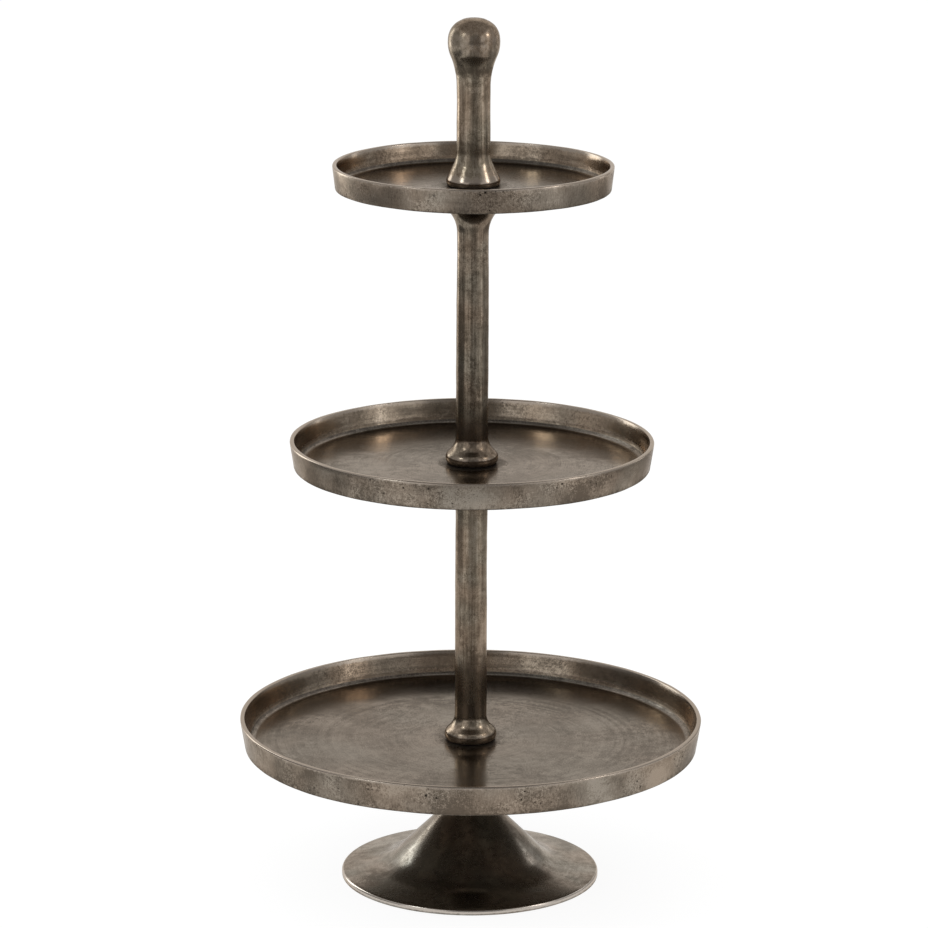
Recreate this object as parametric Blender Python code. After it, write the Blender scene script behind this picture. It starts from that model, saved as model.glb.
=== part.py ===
"""Three-tier dumbwaiter table in cast aluminium: a trumpet foot, three round rimmed trays, two turned
columns between them and a handle with a ball knob, all drawn together by studs on the centre line.

Metres, +Z up. The origin is on the centre line, on the floor that the table stands on.
"""
from math import acos, atan2, cos, hypot, pi, radians, sin, tan

import bmesh
import bpy
from mathutils import Matrix

for old in list(bpy.data.objects):
    bpy.data.objects.remove(old, do_unlink=True)

# Fits
SEAT_GAP = 0.0003
THREAD_GAP = 0.0003
PRESS_GAP = 0.0003
STUD_HOLE_CLEARANCE = 0.0008
MERGE_DISTANCE = 0.000002

# Trays: outer radius of the lip, height of the rim above the tray's underside, how far the wall draws
# in from the lip to the underside, and the thickness of the floor
LOWER_TRAY_RADIUS = 0.2550
LOWER_TRAY_RIM = 0.0330
LOWER_TRAY_DRAFT = 0.0050
LOWER_TRAY_FLOOR = 0.0055
MIDDLE_TRAY_RADIUS = 0.1986
MIDDLE_TRAY_RIM = 0.0293
MIDDLE_TRAY_DRAFT = 0.0041
MIDDLE_TRAY_FLOOR = 0.0030
UPPER_TRAY_RADIUS = 0.1516
UPPER_TRAY_RIM = 0.0265
UPPER_TRAY_DRAFT = 0.0028
UPPER_TRAY_FLOOR = 0.0040
WALL_THICKNESS = 0.0045
LIP_WIDTH = 0.0048
LIP_OUTER_ROUND = 0.0016
LIP_INNER_ROUND = 0.0012
TRAY_EDGE_ROUND = 0.0016
TRAY_COVE = 0.0080

# Columns and handle
LOWER_COLUMN_LENGTH = 0.3102
UPPER_COLUMN_LENGTH = 0.3013
COLUMN_BASE_RADIUS = 0.0177
COLUMN_TOP_RADIUS = 0.0173
COLUMN_WALL = 0.0050
HANDLE_LENGTH = 0.1794
HANDLE_SHAFT_RADIUS = 0.0183
HANDLE_WALL = 0.0060
KNOB_RADIUS = 0.0281
KNOB_DOME_HEIGHT = 0.0253
KNOB_DOME_POWER = 2.3
KNOB_CAP = 0.0300

# Turned ends: largest radius, radius of its rounded nose, how far the nose curls under towards the
# end face, the angle at which the nose turns into the hollow sweep that runs out on the shaft, and on
# the two feet the length of a straight flank between nose and sweep
COLUMN_FOOT_RADIUS = 0.0288
COLUMN_FOOT_NOSE = 0.0090
COLUMN_FOOT_UNDERCUT = radians(38)
COLUMN_FOOT_JOIN = radians(45)
COLUMN_FOOT_FLANK = 0.0040
CAPITAL_RADIUS = 0.0380
CAPITAL_NOSE = 0.0100
CAPITAL_UNDERCUT = radians(63)
CAPITAL_JOIN = radians(58)
HANDLE_FOOT_RADIUS = 0.0292
HANDLE_FOOT_NOSE = 0.0075
HANDLE_FOOT_UNDERCUT = radians(28)
HANDLE_FOOT_JOIN = radians(26)
HANDLE_FOOT_FLANK = 0.0150
KNOB_NOSE = 0.0404
KNOB_JOIN = radians(23.3)

# Foot: a nearly level disc, a bend up onto the straight flank of the bell, and a hollow sweep from
# the flank to the neck. The disc's slope is measured from level, the bend and the sweep are radii
FOOT_RADIUS = 0.1428
FOOT_HEIGHT = 0.1492
FOOT_WALL = 0.0055
FOOT_RIM_HEIGHT = 0.0060
FOOT_RIM_ROUND = 0.0030
FOOT_DISC_WIDTH = 0.0318
FOOT_DISC_SLOPE = radians(9.5)
FOOT_BEND = 0.0520
FOOT_SWEEP = 0.0450
FOOT_NECK_RADIUS = 0.0230
FOOT_NECK_LENGTH = 0.0060
FOOT_HEAD_RADIUS = 0.0405
FOOT_HEAD_NOSE = 0.0060
FOOT_HEAD_UNDERCUT = radians(45)
FOOT_HEAD_JOIN = radians(50)
FOOT_HUB_DEPTH = 0.0330
FOOT_SKIRT_WIDTH = 0.0030
FOOT_LAND_WIDTH = 0.0140

# Felt pads in the rebate under the foot's rim
PAD_COUNT = 4
PAD_RADIUS = 0.0060
PAD_THICKNESS = 0.0015
PAD_PROUD = 0.0008

# Studs, bolt, bushes and washers
THREAD_RADIUS = 0.0060
THREAD_CHAMFER = 0.0010
THREAD_ENGAGEMENT = 0.0240
BUSH_LENGTH = 0.0300
BUSH_CHAMFER = 0.0008
BOLT_HEAD_ACROSS_FLATS = 0.0190
BOLT_HEAD_HEIGHT = 0.0075
PLAIN_WASHER_RADIUS = 0.0120
PLAIN_WASHER_THICKNESS = 0.0025
SPRING_WASHER_RADIUS = 0.0105
SPRING_WASHER_THICKNESS = 0.0025
SPRING_WASHER_SLIT = radians(14)
SEAT_WASHER_THICKNESS = 0.0005
SEAT_WASHER_INSET = 0.0015

# Facets round the centre line, and steps along the arcs of an outline
TRAY_FACETS = 56
FOOT_FACETS = 44
COLUMN_FACETS = 24
BUSH_FACETS = 18
WASHER_FACETS = 20
NOSE_STEPS = 4
SWEEP_STEPS = 5
SMALL_STEPS = 3
BEND_STEPS = 6
DOME_STEPS = 6

# Heights of the stack, from the floor up. SEAT is one thin washer with its two gaps
SEAT = SEAT_GAP + SEAT_WASHER_THICKNESS + SEAT_GAP
FOOT_TOP = PAD_PROUD + FOOT_HEIGHT
LOWER_TRAY_BASE = FOOT_TOP + SEAT
LOWER_COLUMN_BASE = LOWER_TRAY_BASE + LOWER_TRAY_FLOOR + SEAT
LOWER_COLUMN_TOP = LOWER_COLUMN_BASE + LOWER_COLUMN_LENGTH
MIDDLE_TRAY_BASE = LOWER_COLUMN_TOP + SEAT
UPPER_COLUMN_BASE = MIDDLE_TRAY_BASE + MIDDLE_TRAY_FLOOR + SEAT
UPPER_COLUMN_TOP = UPPER_COLUMN_BASE + UPPER_COLUMN_LENGTH
UPPER_TRAY_BASE = UPPER_COLUMN_TOP + SEAT
HANDLE_BASE = UPPER_TRAY_BASE + UPPER_TRAY_FLOOR + SEAT
STUD_HOLE_RADIUS = THREAD_RADIUS + STUD_HOLE_CLEARANCE
COLUMN_BORE = COLUMN_TOP_RADIUS - COLUMN_WALL
HANDLE_BORE = HANDLE_SHAFT_RADIUS - HANDLE_WALL


def material(name, colour, roughness, metallic):
    made = bpy.data.materials.new(name)
    made.use_nodes = True
    shader = made.node_tree.nodes["Principled BSDF"]
    shader.inputs["Base Color"].default_value = (*colour, 1.0)
    shader.inputs["Roughness"].default_value = roughness
    shader.inputs["Metallic"].default_value = metallic
    return made


CAST_ALUMINIUM = material("antique cast aluminium", (0.30, 0.28, 0.26), 0.34, 1.0)
ZINC_STEEL = material("zinc-plated steel", (0.60, 0.60, 0.58), 0.32, 1.0)
FIBRE = material("black fibre", (0.03, 0.03, 0.03), 0.75, 0.0)
FELT = material("charcoal felt", (0.05, 0.05, 0.05), 0.95, 0.0)


def arc(centre, radius, start, end, steps):
    """Points (r, z) of an arc from start to end, both included; angles run from +r towards +z."""
    angles = [start + (end - start) * step / steps for step in range(steps + 1)]
    return [(centre[0] + radius * cos(a), centre[1] + radius * sin(a)) for a in angles]


def finish(obj, smooth_angle=radians(32)):
    """Turns the faces outwards and shades the round ones smooth."""
    mesh = obj.data
    shape = bmesh.new()
    shape.from_mesh(mesh)
    bmesh.ops.recalc_face_normals(shape, faces=shape.faces)
    shape.to_mesh(mesh)
    shape.free()
    mesh.shade_smooth()
    mesh.set_sharp_from_angle(angle=smooth_angle)
    return obj


def object_from(shape, name, look):
    mesh = bpy.data.meshes.new(name)
    shape.to_mesh(mesh)
    shape.free()
    mesh.materials.append(look)
    obj = bpy.data.objects.new(name, mesh)
    bpy.context.scene.collection.objects.link(obj)
    return obj


def turned(name, outline, look, facets, base=0.0):
    """Spins an outline of (r, z) points about the centre line and sets it at height base.

    An outline whose ends both lie on the centre line stays open there; any other is closed."""
    shape = bmesh.new()
    verts = [shape.verts.new((r, 0.0, z)) for r, z in outline]
    edges = [shape.edges.new(pair) for pair in zip(verts, verts[1:])]
    if outline[0][0] > 0.0:
        edges.append(shape.edges.new((verts[-1], verts[0])))
    bmesh.ops.spin(
        shape, geom=verts + edges, cent=(0.0, 0.0, 0.0), axis=(0.0, 0.0, 1.0),
        angle=2 * pi, steps=facets, use_merge=True)
    bmesh.ops.remove_doubles(shape, verts=shape.verts, dist=MERGE_DISTANCE)
    obj = finish(object_from(shape, name, look))
    obj.location.z = base
    return obj


def outer_tangent(first, first_radius, second, second_radius):
    """Angle of the normal of the line from one round to the next that leaves both on its left."""
    across, up = second[0] - first[0], second[1] - first[1]
    return atan2(up, across) - acos((first_radius - second_radius) / hypot(across, up))


def crossing_tangent(hollow, hollow_radius, lip, lip_radius):
    """Angle of the normal of the inner wall: it touches the cove inside and the lip's round outside."""
    across, up = lip[0] - hollow[0], lip[1] - hollow[1]
    return atan2(up, across) - acos((hollow_radius + lip_radius) / hypot(across, up))


def tray_outline(radius, rim, draft, floor):
    """A tray's section, from the underside out and up the wall, over the lip and down to the floor."""
    edge = (radius - draft - TRAY_EDGE_ROUND, TRAY_EDGE_ROUND)
    outer_lip = (radius - LIP_OUTER_ROUND, rim - LIP_OUTER_ROUND)
    inner_lip = (radius - LIP_WIDTH + LIP_INNER_ROUND, rim - LIP_INNER_ROUND)
    cove = (radius - draft - WALL_THICKNESS - TRAY_COVE, floor + TRAY_COVE)
    outside = outer_tangent(edge, TRAY_EDGE_ROUND, outer_lip, LIP_OUTER_ROUND)
    inside = crossing_tangent(cove, TRAY_COVE, inner_lip, LIP_INNER_ROUND)
    outline = [(STUD_HOLE_RADIUS, 0.0)]
    outline += arc(edge, TRAY_EDGE_ROUND, -pi / 2, outside, SMALL_STEPS)
    outline += arc(outer_lip, LIP_OUTER_ROUND, outside, pi / 2, SMALL_STEPS)
    outline += arc(inner_lip, LIP_INNER_ROUND, pi / 2, pi + inside, SMALL_STEPS - 1)
    outline += arc(cove, TRAY_COVE, inside, -pi / 2, SMALL_STEPS)
    outline.append((STUD_HOLE_RADIUS, floor))
    return outline


def turned_end(shaft, reach, nose, undercut, join, flank=0.0, nose_steps=NOSE_STEPS):
    """A turned end standing on its face at z = 0: a rounded nose, a straight flank where it has one,
    then a hollow sweep onto the shaft."""
    centre = (reach - nose, nose * sin(undercut))
    join_radius = centre[0] + nose * cos(join) - flank * sin(join)
    sweep = (join_radius - shaft) / (1 - cos(join))
    sweep_centre = (shaft + sweep, centre[1] + (nose + sweep) * sin(join) + flank * cos(join))
    points = arc(centre, nose, -undercut, join, nose_steps)
    onto_shaft = arc(sweep_centre, sweep, pi + join, pi, SWEEP_STEPS)
    return points + (onto_shaft if flank else onto_shaft[1:])


def column_outline(length):
    """A column's section: foot end, shaft and capital outside, and the straight cored bore inside."""
    foot = turned_end(
        COLUMN_BASE_RADIUS, COLUMN_FOOT_RADIUS, COLUMN_FOOT_NOSE, COLUMN_FOOT_UNDERCUT,
        COLUMN_FOOT_JOIN, COLUMN_FOOT_FLANK)
    capital = turned_end(
        COLUMN_TOP_RADIUS, CAPITAL_RADIUS, CAPITAL_NOSE, CAPITAL_UNDERCUT, CAPITAL_JOIN)
    upper = [(r, length - z) for r, z in reversed(capital)]
    return foot + upper + [(COLUMN_BORE, length), (COLUMN_BORE, 0.0)]


def handle_outline():
    """The handle's section: foot end, grip, the knob's sweep and dome, and the blind bore inside."""
    foot = turned_end(
        HANDLE_SHAFT_RADIUS, HANDLE_FOOT_RADIUS, HANDLE_FOOT_NOSE, HANDLE_FOOT_UNDERCUT,
        HANDLE_FOOT_JOIN, HANDLE_FOOT_FLANK)
    equator = HANDLE_LENGTH - KNOB_DOME_HEIGHT
    knob = turned_end(
        HANDLE_SHAFT_RADIUS, KNOB_RADIUS, KNOB_NOSE, 0.0, KNOB_JOIN, nose_steps=SMALL_STEPS)
    below = [(r, equator - z) for r, z in reversed(knob)]
    roundness = 2 / KNOB_DOME_POWER
    dome = []
    for step in range(1, DOME_STEPS):
        angle = pi / 2 * step / DOME_STEPS
        dome_radius = KNOB_RADIUS * cos(angle) ** roundness
        dome.append((dome_radius, equator + KNOB_DOME_HEIGHT * sin(angle) ** roundness))
    bore_top = HANDLE_LENGTH - KNOB_CAP
    bore = [(0.0, bore_top), (HANDLE_BORE, bore_top), (HANDLE_BORE, 0.0)]
    return bore + foot + below + dome + [(0.0, HANDLE_LENGTH)]


def bell(neck_end, inset=0.0):
    """Points down the foot's bell, from the end of its neck to the disc: the sweep, the straight flank
    that touches both rounds, and the bend. An inset draws the same lines inside the wall."""
    disc_inner = FOOT_RADIUS - FOOT_RIM_ROUND - FOOT_DISC_WIDTH
    disc_rise = FOOT_DISC_WIDTH * tan(FOOT_DISC_SLOPE)
    sweep_centre = (FOOT_NECK_RADIUS + FOOT_SWEEP, neck_end)
    bend_centre = (disc_inner + FOOT_BEND * sin(FOOT_DISC_SLOPE),
                   FOOT_RIM_HEIGHT + disc_rise + FOOT_BEND * cos(FOOT_DISC_SLOPE))
    flank = outer_tangent(sweep_centre, FOOT_SWEEP, bend_centre, FOOT_BEND)
    points = arc(sweep_centre, FOOT_SWEEP + inset, -pi, flank, SWEEP_STEPS)
    return points + arc(bend_centre, FOOT_BEND + inset, flank, -pi / 2 - FOOT_DISC_SLOPE, BEND_STEPS)


def foot_outline():
    """The foot's section: head under the tray, neck, bell, disc and rim outside; then the pads' rebate,
    the hollow underside and the hub with its bolt hole."""
    head = turned_end(
        FOOT_NECK_RADIUS, FOOT_HEAD_RADIUS, FOOT_HEAD_NOSE, FOOT_HEAD_UNDERCUT, FOOT_HEAD_JOIN)
    head = [(r, FOOT_HEIGHT - z) for r, z in head]
    neck_end = head[-1][1] - FOOT_NECK_LENGTH
    shoulder = (FOOT_RADIUS - FOOT_RIM_ROUND, FOOT_RIM_HEIGHT - FOOT_RIM_ROUND)
    rim = arc(shoulder, FOOT_RIM_ROUND, pi / 2 - FOOT_DISC_SLOPE, 0.0, SMALL_STEPS)
    land = PAD_THICKNESS + SEAT_GAP - PAD_PROUD
    land_outer = FOOT_RADIUS - FOOT_SKIRT_WIDTH
    land_inner = land_outer - FOOT_LAND_WIDTH
    above_land = FOOT_RIM_HEIGHT + (shoulder[0] - land_inner) * tan(FOOT_DISC_SLOPE)
    hollow_rim = (land_inner, above_land - FOOT_WALL / cos(FOOT_DISC_SLOPE))
    hub = FOOT_HEIGHT - FOOT_HUB_DEPTH
    outline = [(STUD_HOLE_RADIUS, FOOT_HEIGHT)]
    outline += head
    outline += bell(neck_end)
    outline += rim
    outline += [(FOOT_RADIUS, 0.0), (land_outer, 0.0), (land_outer, land), (land_inner, land), hollow_rim]
    outline += reversed(bell(neck_end, FOOT_WALL))
    outline += [(FOOT_NECK_RADIUS - FOOT_WALL, hub), (STUD_HOLE_RADIUS, hub)]
    return outline


def ring_outline(inner, outer, thickness, chamfer=0.0):
    """A plain ring's section, with its outer edges broken where a chamfer is given."""
    if chamfer == 0.0:
        return [(inner, 0.0), (outer, 0.0), (outer, thickness), (inner, thickness)]
    return [(inner, 0.0), (outer - chamfer, 0.0), (outer, chamfer), (outer, thickness - chamfer),
            (outer - chamfer, thickness), (inner, thickness)]


def stud_outline(length):
    """A stud's section, with both ends chamfered; the thread is a plain cylinder."""
    shank = THREAD_RADIUS - THREAD_GAP
    return [(0.0, 0.0), (shank - THREAD_CHAMFER, 0.0), (shank, THREAD_CHAMFER),
            (shank, length - THREAD_CHAMFER), (shank - THREAD_CHAMFER, length), (0.0, length)]


def bush(name, bore, base):
    outline = ring_outline(THREAD_RADIUS, bore - PRESS_GAP, BUSH_LENGTH, BUSH_CHAMFER)
    return turned(name, outline, ZINC_STEEL, BUSH_FACETS, base)


def seat_washer(name, end_face_radius, base):
    outline = ring_outline(
        STUD_HOLE_RADIUS, end_face_radius - SEAT_WASHER_INSET, SEAT_WASHER_THICKNESS)
    return turned(name, outline, FIBRE, WASHER_FACETS, base)


def face_radius(reach, nose, undercut):
    """Radius of a turned end's flat face, where its nose curls under."""
    return reach - nose + nose * cos(undercut)


def boolean(target, tool, operation):
    """Adds or cuts with another object, which itself isn't part of the table."""
    tool.hide_render = True
    tool.display_type = "WIRE"
    step = target.modifiers.new(tool.name, "BOOLEAN")
    step.operation = operation
    step.solver = "EXACT"
    step.object = tool


def foot_and_pads():
    turned("foot", foot_outline(), CAST_ALUMINIUM, FOOT_FACETS, PAD_PROUD)
    ring_radius = FOOT_RADIUS - FOOT_SKIRT_WIDTH - FOOT_LAND_WIDTH / 2
    for number in range(PAD_COUNT):
        angle = 2 * pi * number / PAD_COUNT
        outline = [(0.0, 0.0), (PAD_RADIUS, 0.0), (PAD_RADIUS, PAD_THICKNESS), (0.0, PAD_THICKNESS)]
        pad = turned(f"foot_pad_{number + 1}", outline, FELT, WASHER_FACETS)
        pad.location = (ring_radius * cos(angle), ring_radius * sin(angle), 0.0)


def foot_fastening():
    """The bolt that holds the foot: head, spring washer and plain washer under the hub."""
    hub = FOOT_TOP - FOOT_HUB_DEPTH
    washer_base = hub - SEAT_GAP - PLAIN_WASHER_THICKNESS
    spring_base = washer_base - SEAT_GAP - SPRING_WASHER_THICKNESS
    head_base = spring_base - SEAT_GAP - BOLT_HEAD_HEIGHT
    washer_outline = ring_outline(STUD_HOLE_RADIUS, PLAIN_WASHER_RADIUS, PLAIN_WASHER_THICKNESS)
    turned("foot_bolt_washer", washer_outline, ZINC_STEEL, WASHER_FACETS, washer_base)
    spring_washer(spring_base)
    shank_top = LOWER_COLUMN_BASE + THREAD_ENGAGEMENT
    shank_base = head_base + BOLT_HEAD_HEIGHT / 2
    bolt = hexagon("foot_bolt", BOLT_HEAD_ACROSS_FLATS, BOLT_HEAD_HEIGHT, head_base)
    shank = turned("foot_bolt_shank", stud_outline(shank_top - shank_base), ZINC_STEEL,
                   BUSH_FACETS, shank_base)
    boolean(bolt, shank, "UNION")


def hexagon(name, across_flats, height, base):
    shape = bmesh.new()
    corner_radius = across_flats / 2 / cos(pi / 6)
    bmesh.ops.create_cone(
        shape, cap_ends=True, segments=6, radius1=corner_radius, radius2=corner_radius, depth=height,
        matrix=Matrix.Translation((0.0, 0.0, base + height / 2)))
    return finish(object_from(shape, name, ZINC_STEEL))


def spring_washer(base):
    """A split ring: a square section carried round almost a full turn and capped at both ends."""
    section = ring_outline(STUD_HOLE_RADIUS, SPRING_WASHER_RADIUS, SPRING_WASHER_THICKNESS)
    shape = bmesh.new()
    verts = [shape.verts.new((r, 0.0, z)) for r, z in section]
    face = shape.faces.new(verts)
    bmesh.ops.spin(
        shape, geom=[face] + verts + list(face.edges), cent=(0.0, 0.0, 0.0), axis=(0.0, 0.0, 1.0),
        angle=2 * pi - SPRING_WASHER_SLIT, steps=WASHER_FACETS)
    bmesh.ops.remove_doubles(shape, verts=shape.verts, dist=MERGE_DISTANCE)
    washer = finish(object_from(shape, "foot_spring_washer", ZINC_STEEL))
    washer.location.z = base


def tray(name, radius, rim, draft, floor, base):
    turned(name, tray_outline(radius, rim, draft, floor), CAST_ALUMINIUM, TRAY_FACETS, base)


def column(name, length, base):
    """A column casting with a threaded bush pressed into each end."""
    turned(name, column_outline(length), CAST_ALUMINIUM, COLUMN_FACETS, base)
    bush(f"{name}_base_bush", COLUMN_BORE, base + SEAT_GAP)
    bush(f"{name}_top_bush", COLUMN_BORE, base + length - SEAT_GAP - BUSH_LENGTH)


def stud(name, tray_base, tray_floor):
    """A stud through a tray, screwed into the bush below it and the bush above it."""
    reach_down = SEAT + THREAD_ENGAGEMENT
    reach_up = tray_floor + SEAT + THREAD_ENGAGEMENT
    turned(name, stud_outline(reach_down + reach_up), ZINC_STEEL, BUSH_FACETS, tray_base - reach_down)


foot_and_pads()
foot_fastening()

tray(
    "lower_tray", LOWER_TRAY_RADIUS, LOWER_TRAY_RIM, LOWER_TRAY_DRAFT, LOWER_TRAY_FLOOR,
    LOWER_TRAY_BASE)
tray(
    "middle_tray", MIDDLE_TRAY_RADIUS, MIDDLE_TRAY_RIM, MIDDLE_TRAY_DRAFT, MIDDLE_TRAY_FLOOR,
    MIDDLE_TRAY_BASE)
tray(
    "upper_tray", UPPER_TRAY_RADIUS, UPPER_TRAY_RIM, UPPER_TRAY_DRAFT, UPPER_TRAY_FLOOR,
    UPPER_TRAY_BASE)

column("lower_column", LOWER_COLUMN_LENGTH, LOWER_COLUMN_BASE)
column("upper_column", UPPER_COLUMN_LENGTH, UPPER_COLUMN_BASE)
turned("handle", handle_outline(), CAST_ALUMINIUM, COLUMN_FACETS, HANDLE_BASE)
bush("handle_bush", HANDLE_BORE, HANDLE_BASE + SEAT_GAP)

stud("middle_stud", MIDDLE_TRAY_BASE, MIDDLE_TRAY_FLOOR)
stud("upper_stud", UPPER_TRAY_BASE, UPPER_TRAY_FLOOR)

FOOT_FACE = face_radius(FOOT_HEAD_RADIUS, FOOT_HEAD_NOSE, FOOT_HEAD_UNDERCUT)
CAPITAL_FACE = face_radius(CAPITAL_RADIUS, CAPITAL_NOSE, CAPITAL_UNDERCUT)
COLUMN_FACE = face_radius(COLUMN_FOOT_RADIUS, COLUMN_FOOT_NOSE, COLUMN_FOOT_UNDERCUT)
HANDLE_FACE = face_radius(HANDLE_FOOT_RADIUS, HANDLE_FOOT_NOSE, HANDLE_FOOT_UNDERCUT)
SEATS = (
    ("lower_tray", LOWER_TRAY_BASE, LOWER_TRAY_FLOOR, FOOT_FACE, COLUMN_FACE),
    ("middle_tray", MIDDLE_TRAY_BASE, MIDDLE_TRAY_FLOOR, CAPITAL_FACE, COLUMN_FACE),
    ("upper_tray", UPPER_TRAY_BASE, UPPER_TRAY_FLOOR, CAPITAL_FACE, HANDLE_FACE),
)
for tray_name, tray_base, tray_floor, face_below, face_above in SEATS:
    seat_washer(f"{tray_name}_under_washer", face_below, tray_base - SEAT_GAP - SEAT_WASHER_THICKNESS)
    seat_washer(f"{tray_name}_seat_washer", face_above, tray_base + tray_floor + SEAT_GAP)
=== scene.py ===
# %% [markdown]
# This table is a stack of aluminium castings: a trumpet foot, three round trays, two columns and a
# handle with a ball knob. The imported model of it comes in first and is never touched. Every piece
# below is drawn around it, at the places that its boxes give.

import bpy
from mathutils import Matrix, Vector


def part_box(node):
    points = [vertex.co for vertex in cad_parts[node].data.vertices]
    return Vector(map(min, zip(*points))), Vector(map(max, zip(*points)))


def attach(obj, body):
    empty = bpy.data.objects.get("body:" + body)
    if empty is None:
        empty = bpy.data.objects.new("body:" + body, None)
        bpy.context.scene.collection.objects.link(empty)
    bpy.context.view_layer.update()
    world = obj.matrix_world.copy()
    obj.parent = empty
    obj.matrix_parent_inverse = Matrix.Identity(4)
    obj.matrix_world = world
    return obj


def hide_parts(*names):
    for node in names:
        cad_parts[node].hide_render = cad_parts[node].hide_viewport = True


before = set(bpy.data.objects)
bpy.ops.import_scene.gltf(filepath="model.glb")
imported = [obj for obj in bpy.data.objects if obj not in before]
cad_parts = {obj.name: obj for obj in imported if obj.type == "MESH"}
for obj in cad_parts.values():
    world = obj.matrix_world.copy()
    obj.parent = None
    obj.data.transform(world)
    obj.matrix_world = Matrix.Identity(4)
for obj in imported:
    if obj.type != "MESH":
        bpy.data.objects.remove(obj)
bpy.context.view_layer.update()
print("nodes in the frame:", len(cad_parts))

# %% Modules and small helpers for edit mode
from math import acos, atan, atan2, cos, hypot, pi, radians, sin, tan

import bmesh
import bpy
from mathutils import Matrix

NEAR = 0.0002
MERGE = 0.000005


def middle(element):
    if isinstance(element, bmesh.types.BMVert):
        return element.co
    if isinstance(element, bmesh.types.BMFace):
        return element.calc_center_median()
    return (element.verts[0].co + element.verts[1].co) / 2


def pick(kind, test):
    """In edit mode, selects only the VERT, EDGE or FACE elements whose middle passes the test."""
    bpy.ops.mesh.select_mode(type=kind)
    bpy.ops.mesh.select_all(action="DESELECT")
    data = bpy.context.edit_object.data
    mesh = bmesh.from_edit_mesh(data)
    elements = {"VERT": mesh.verts, "EDGE": mesh.edges, "FACE": mesh.faces}[kind]
    for element in elements:
        if test(middle(element)):
            element.select_set(True)
    mesh.select_flush_mode()
    bmesh.update_edit_mesh(data)


def ring_at(radius, height):
    """A test for what lies on one circle round the table's centre line."""
    return lambda p: abs(hypot(p.x, p.y) - radius) < NEAR and abs(p.z - height) < NEAR


def extrude_up(rise):
    """Extrudes what is selected straight up, or down where the rise is negative."""
    bpy.ops.mesh.extrude_region_move(TRANSFORM_OT_translate={"value": (0, 0, rise)})


def widen(share, height):
    """Scales what is selected outwards or inwards at this height; 1 leaves it as it is."""
    bpy.ops.transform.resize(value=(share, share, 1), center_override=(0, 0, height))


def begin(name, add, **size):
    """Adds a primitive with nothing else selected, fixes its place in its mesh and opens it to edit."""
    bpy.ops.object.select_all(action="DESELECT")
    add(**size)
    piece = bpy.context.object
    piece.name = name
    piece.data.name = name
    bpy.ops.object.transform_apply(location=True, rotation=True, scale=True)
    bpy.ops.object.mode_set(mode="EDIT")
    return piece


def end(piece, smooth_angle=radians(35)):
    """Merges doubles, turns all faces outwards, leaves edit mode and shades the round parts smooth."""
    bpy.ops.mesh.select_all(action="SELECT")
    bpy.ops.mesh.remove_doubles(threshold=MERGE)
    bpy.ops.mesh.normals_make_consistent(inside=False)
    bpy.ops.object.mode_set(mode="OBJECT")
    bpy.ops.object.shade_smooth_by_angle(angle=smooth_angle)
    return piece


def fillet(radius, turn):
    """How far from a sharp edge a round of this radius starts, where the surface turns by this angle."""
    return radius * tan(turn / 2)


print("helpers ready")

# %% [markdown]
# A tray is a shallow dish with a wall that leans out a little, so that the casting slips out of its
# mould. By hand it starts as a disc as thick as the rim is high. Its top face is inset by the width
# of the lip and pushed down to the floor, and then the sharp edges are rounded with bevels: small
# ones on the lip and under the rim, a wide one for the cove between wall and floor. A spun section
# would give the same shape, but the inset and the bevels say more plainly how the dish is made.

# %% Trays
TRAY_SEGMENTS = 288
LIP_CORNER = 0.0046
FLOOR_CORNER = 0.0060
EDGE_ROUND = 0.0016
LIP_INNER_ROUND = 0.0012
COVE_ROUND = 0.0080
STUD_HOLE = 0.0068
ROW_STEP = 0.0036
RING_STEP = 0.0100
COVE_STEPS = 8
EDGE_STEPS = 5
LIP_INNER_STEPS = 4
DRAFTS = {"lower_tray": 0.0050, "middle_tray": 0.0041, "upper_tray": 0.0028}
FLOORS = {"lower_tray": 0.0055, "middle_tray": 0.0030, "upper_tray": 0.0040}


def inset_rings(outer, height):
    """Insets the flat face at this height ring after ring, down to the hole for the stud."""
    pick("FACE", lambda p: hypot(p.x, p.y) < NEAR and abs(p.z - height) < NEAR)
    count = max(1, round((outer - STUD_HOLE) / RING_STEP))
    for _ in range(count):
        bpy.ops.mesh.inset(thickness=(outer - STUD_HOLE) / count)


def cut_rows(low, high):
    """Cuts level rows of edges into the walls between two heights."""
    rows = int((high - low) / ROW_STEP)
    for row in range(1, rows):
        height = low + (high - low) * row / rows
        bpy.ops.mesh.select_all(action="SELECT")
        bpy.ops.mesh.bisect(plane_co=(0, 0, height), plane_no=(0, 0, 1))


def round_ring(radius, height, offset, segments):
    """Bevels the sharp edge that lies on one circle round the centre line."""
    pick("EDGE", ring_at(radius, height))
    bpy.ops.mesh.bevel(offset=offset, offset_type="OFFSET", segments=segments, affect="EDGES")


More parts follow.
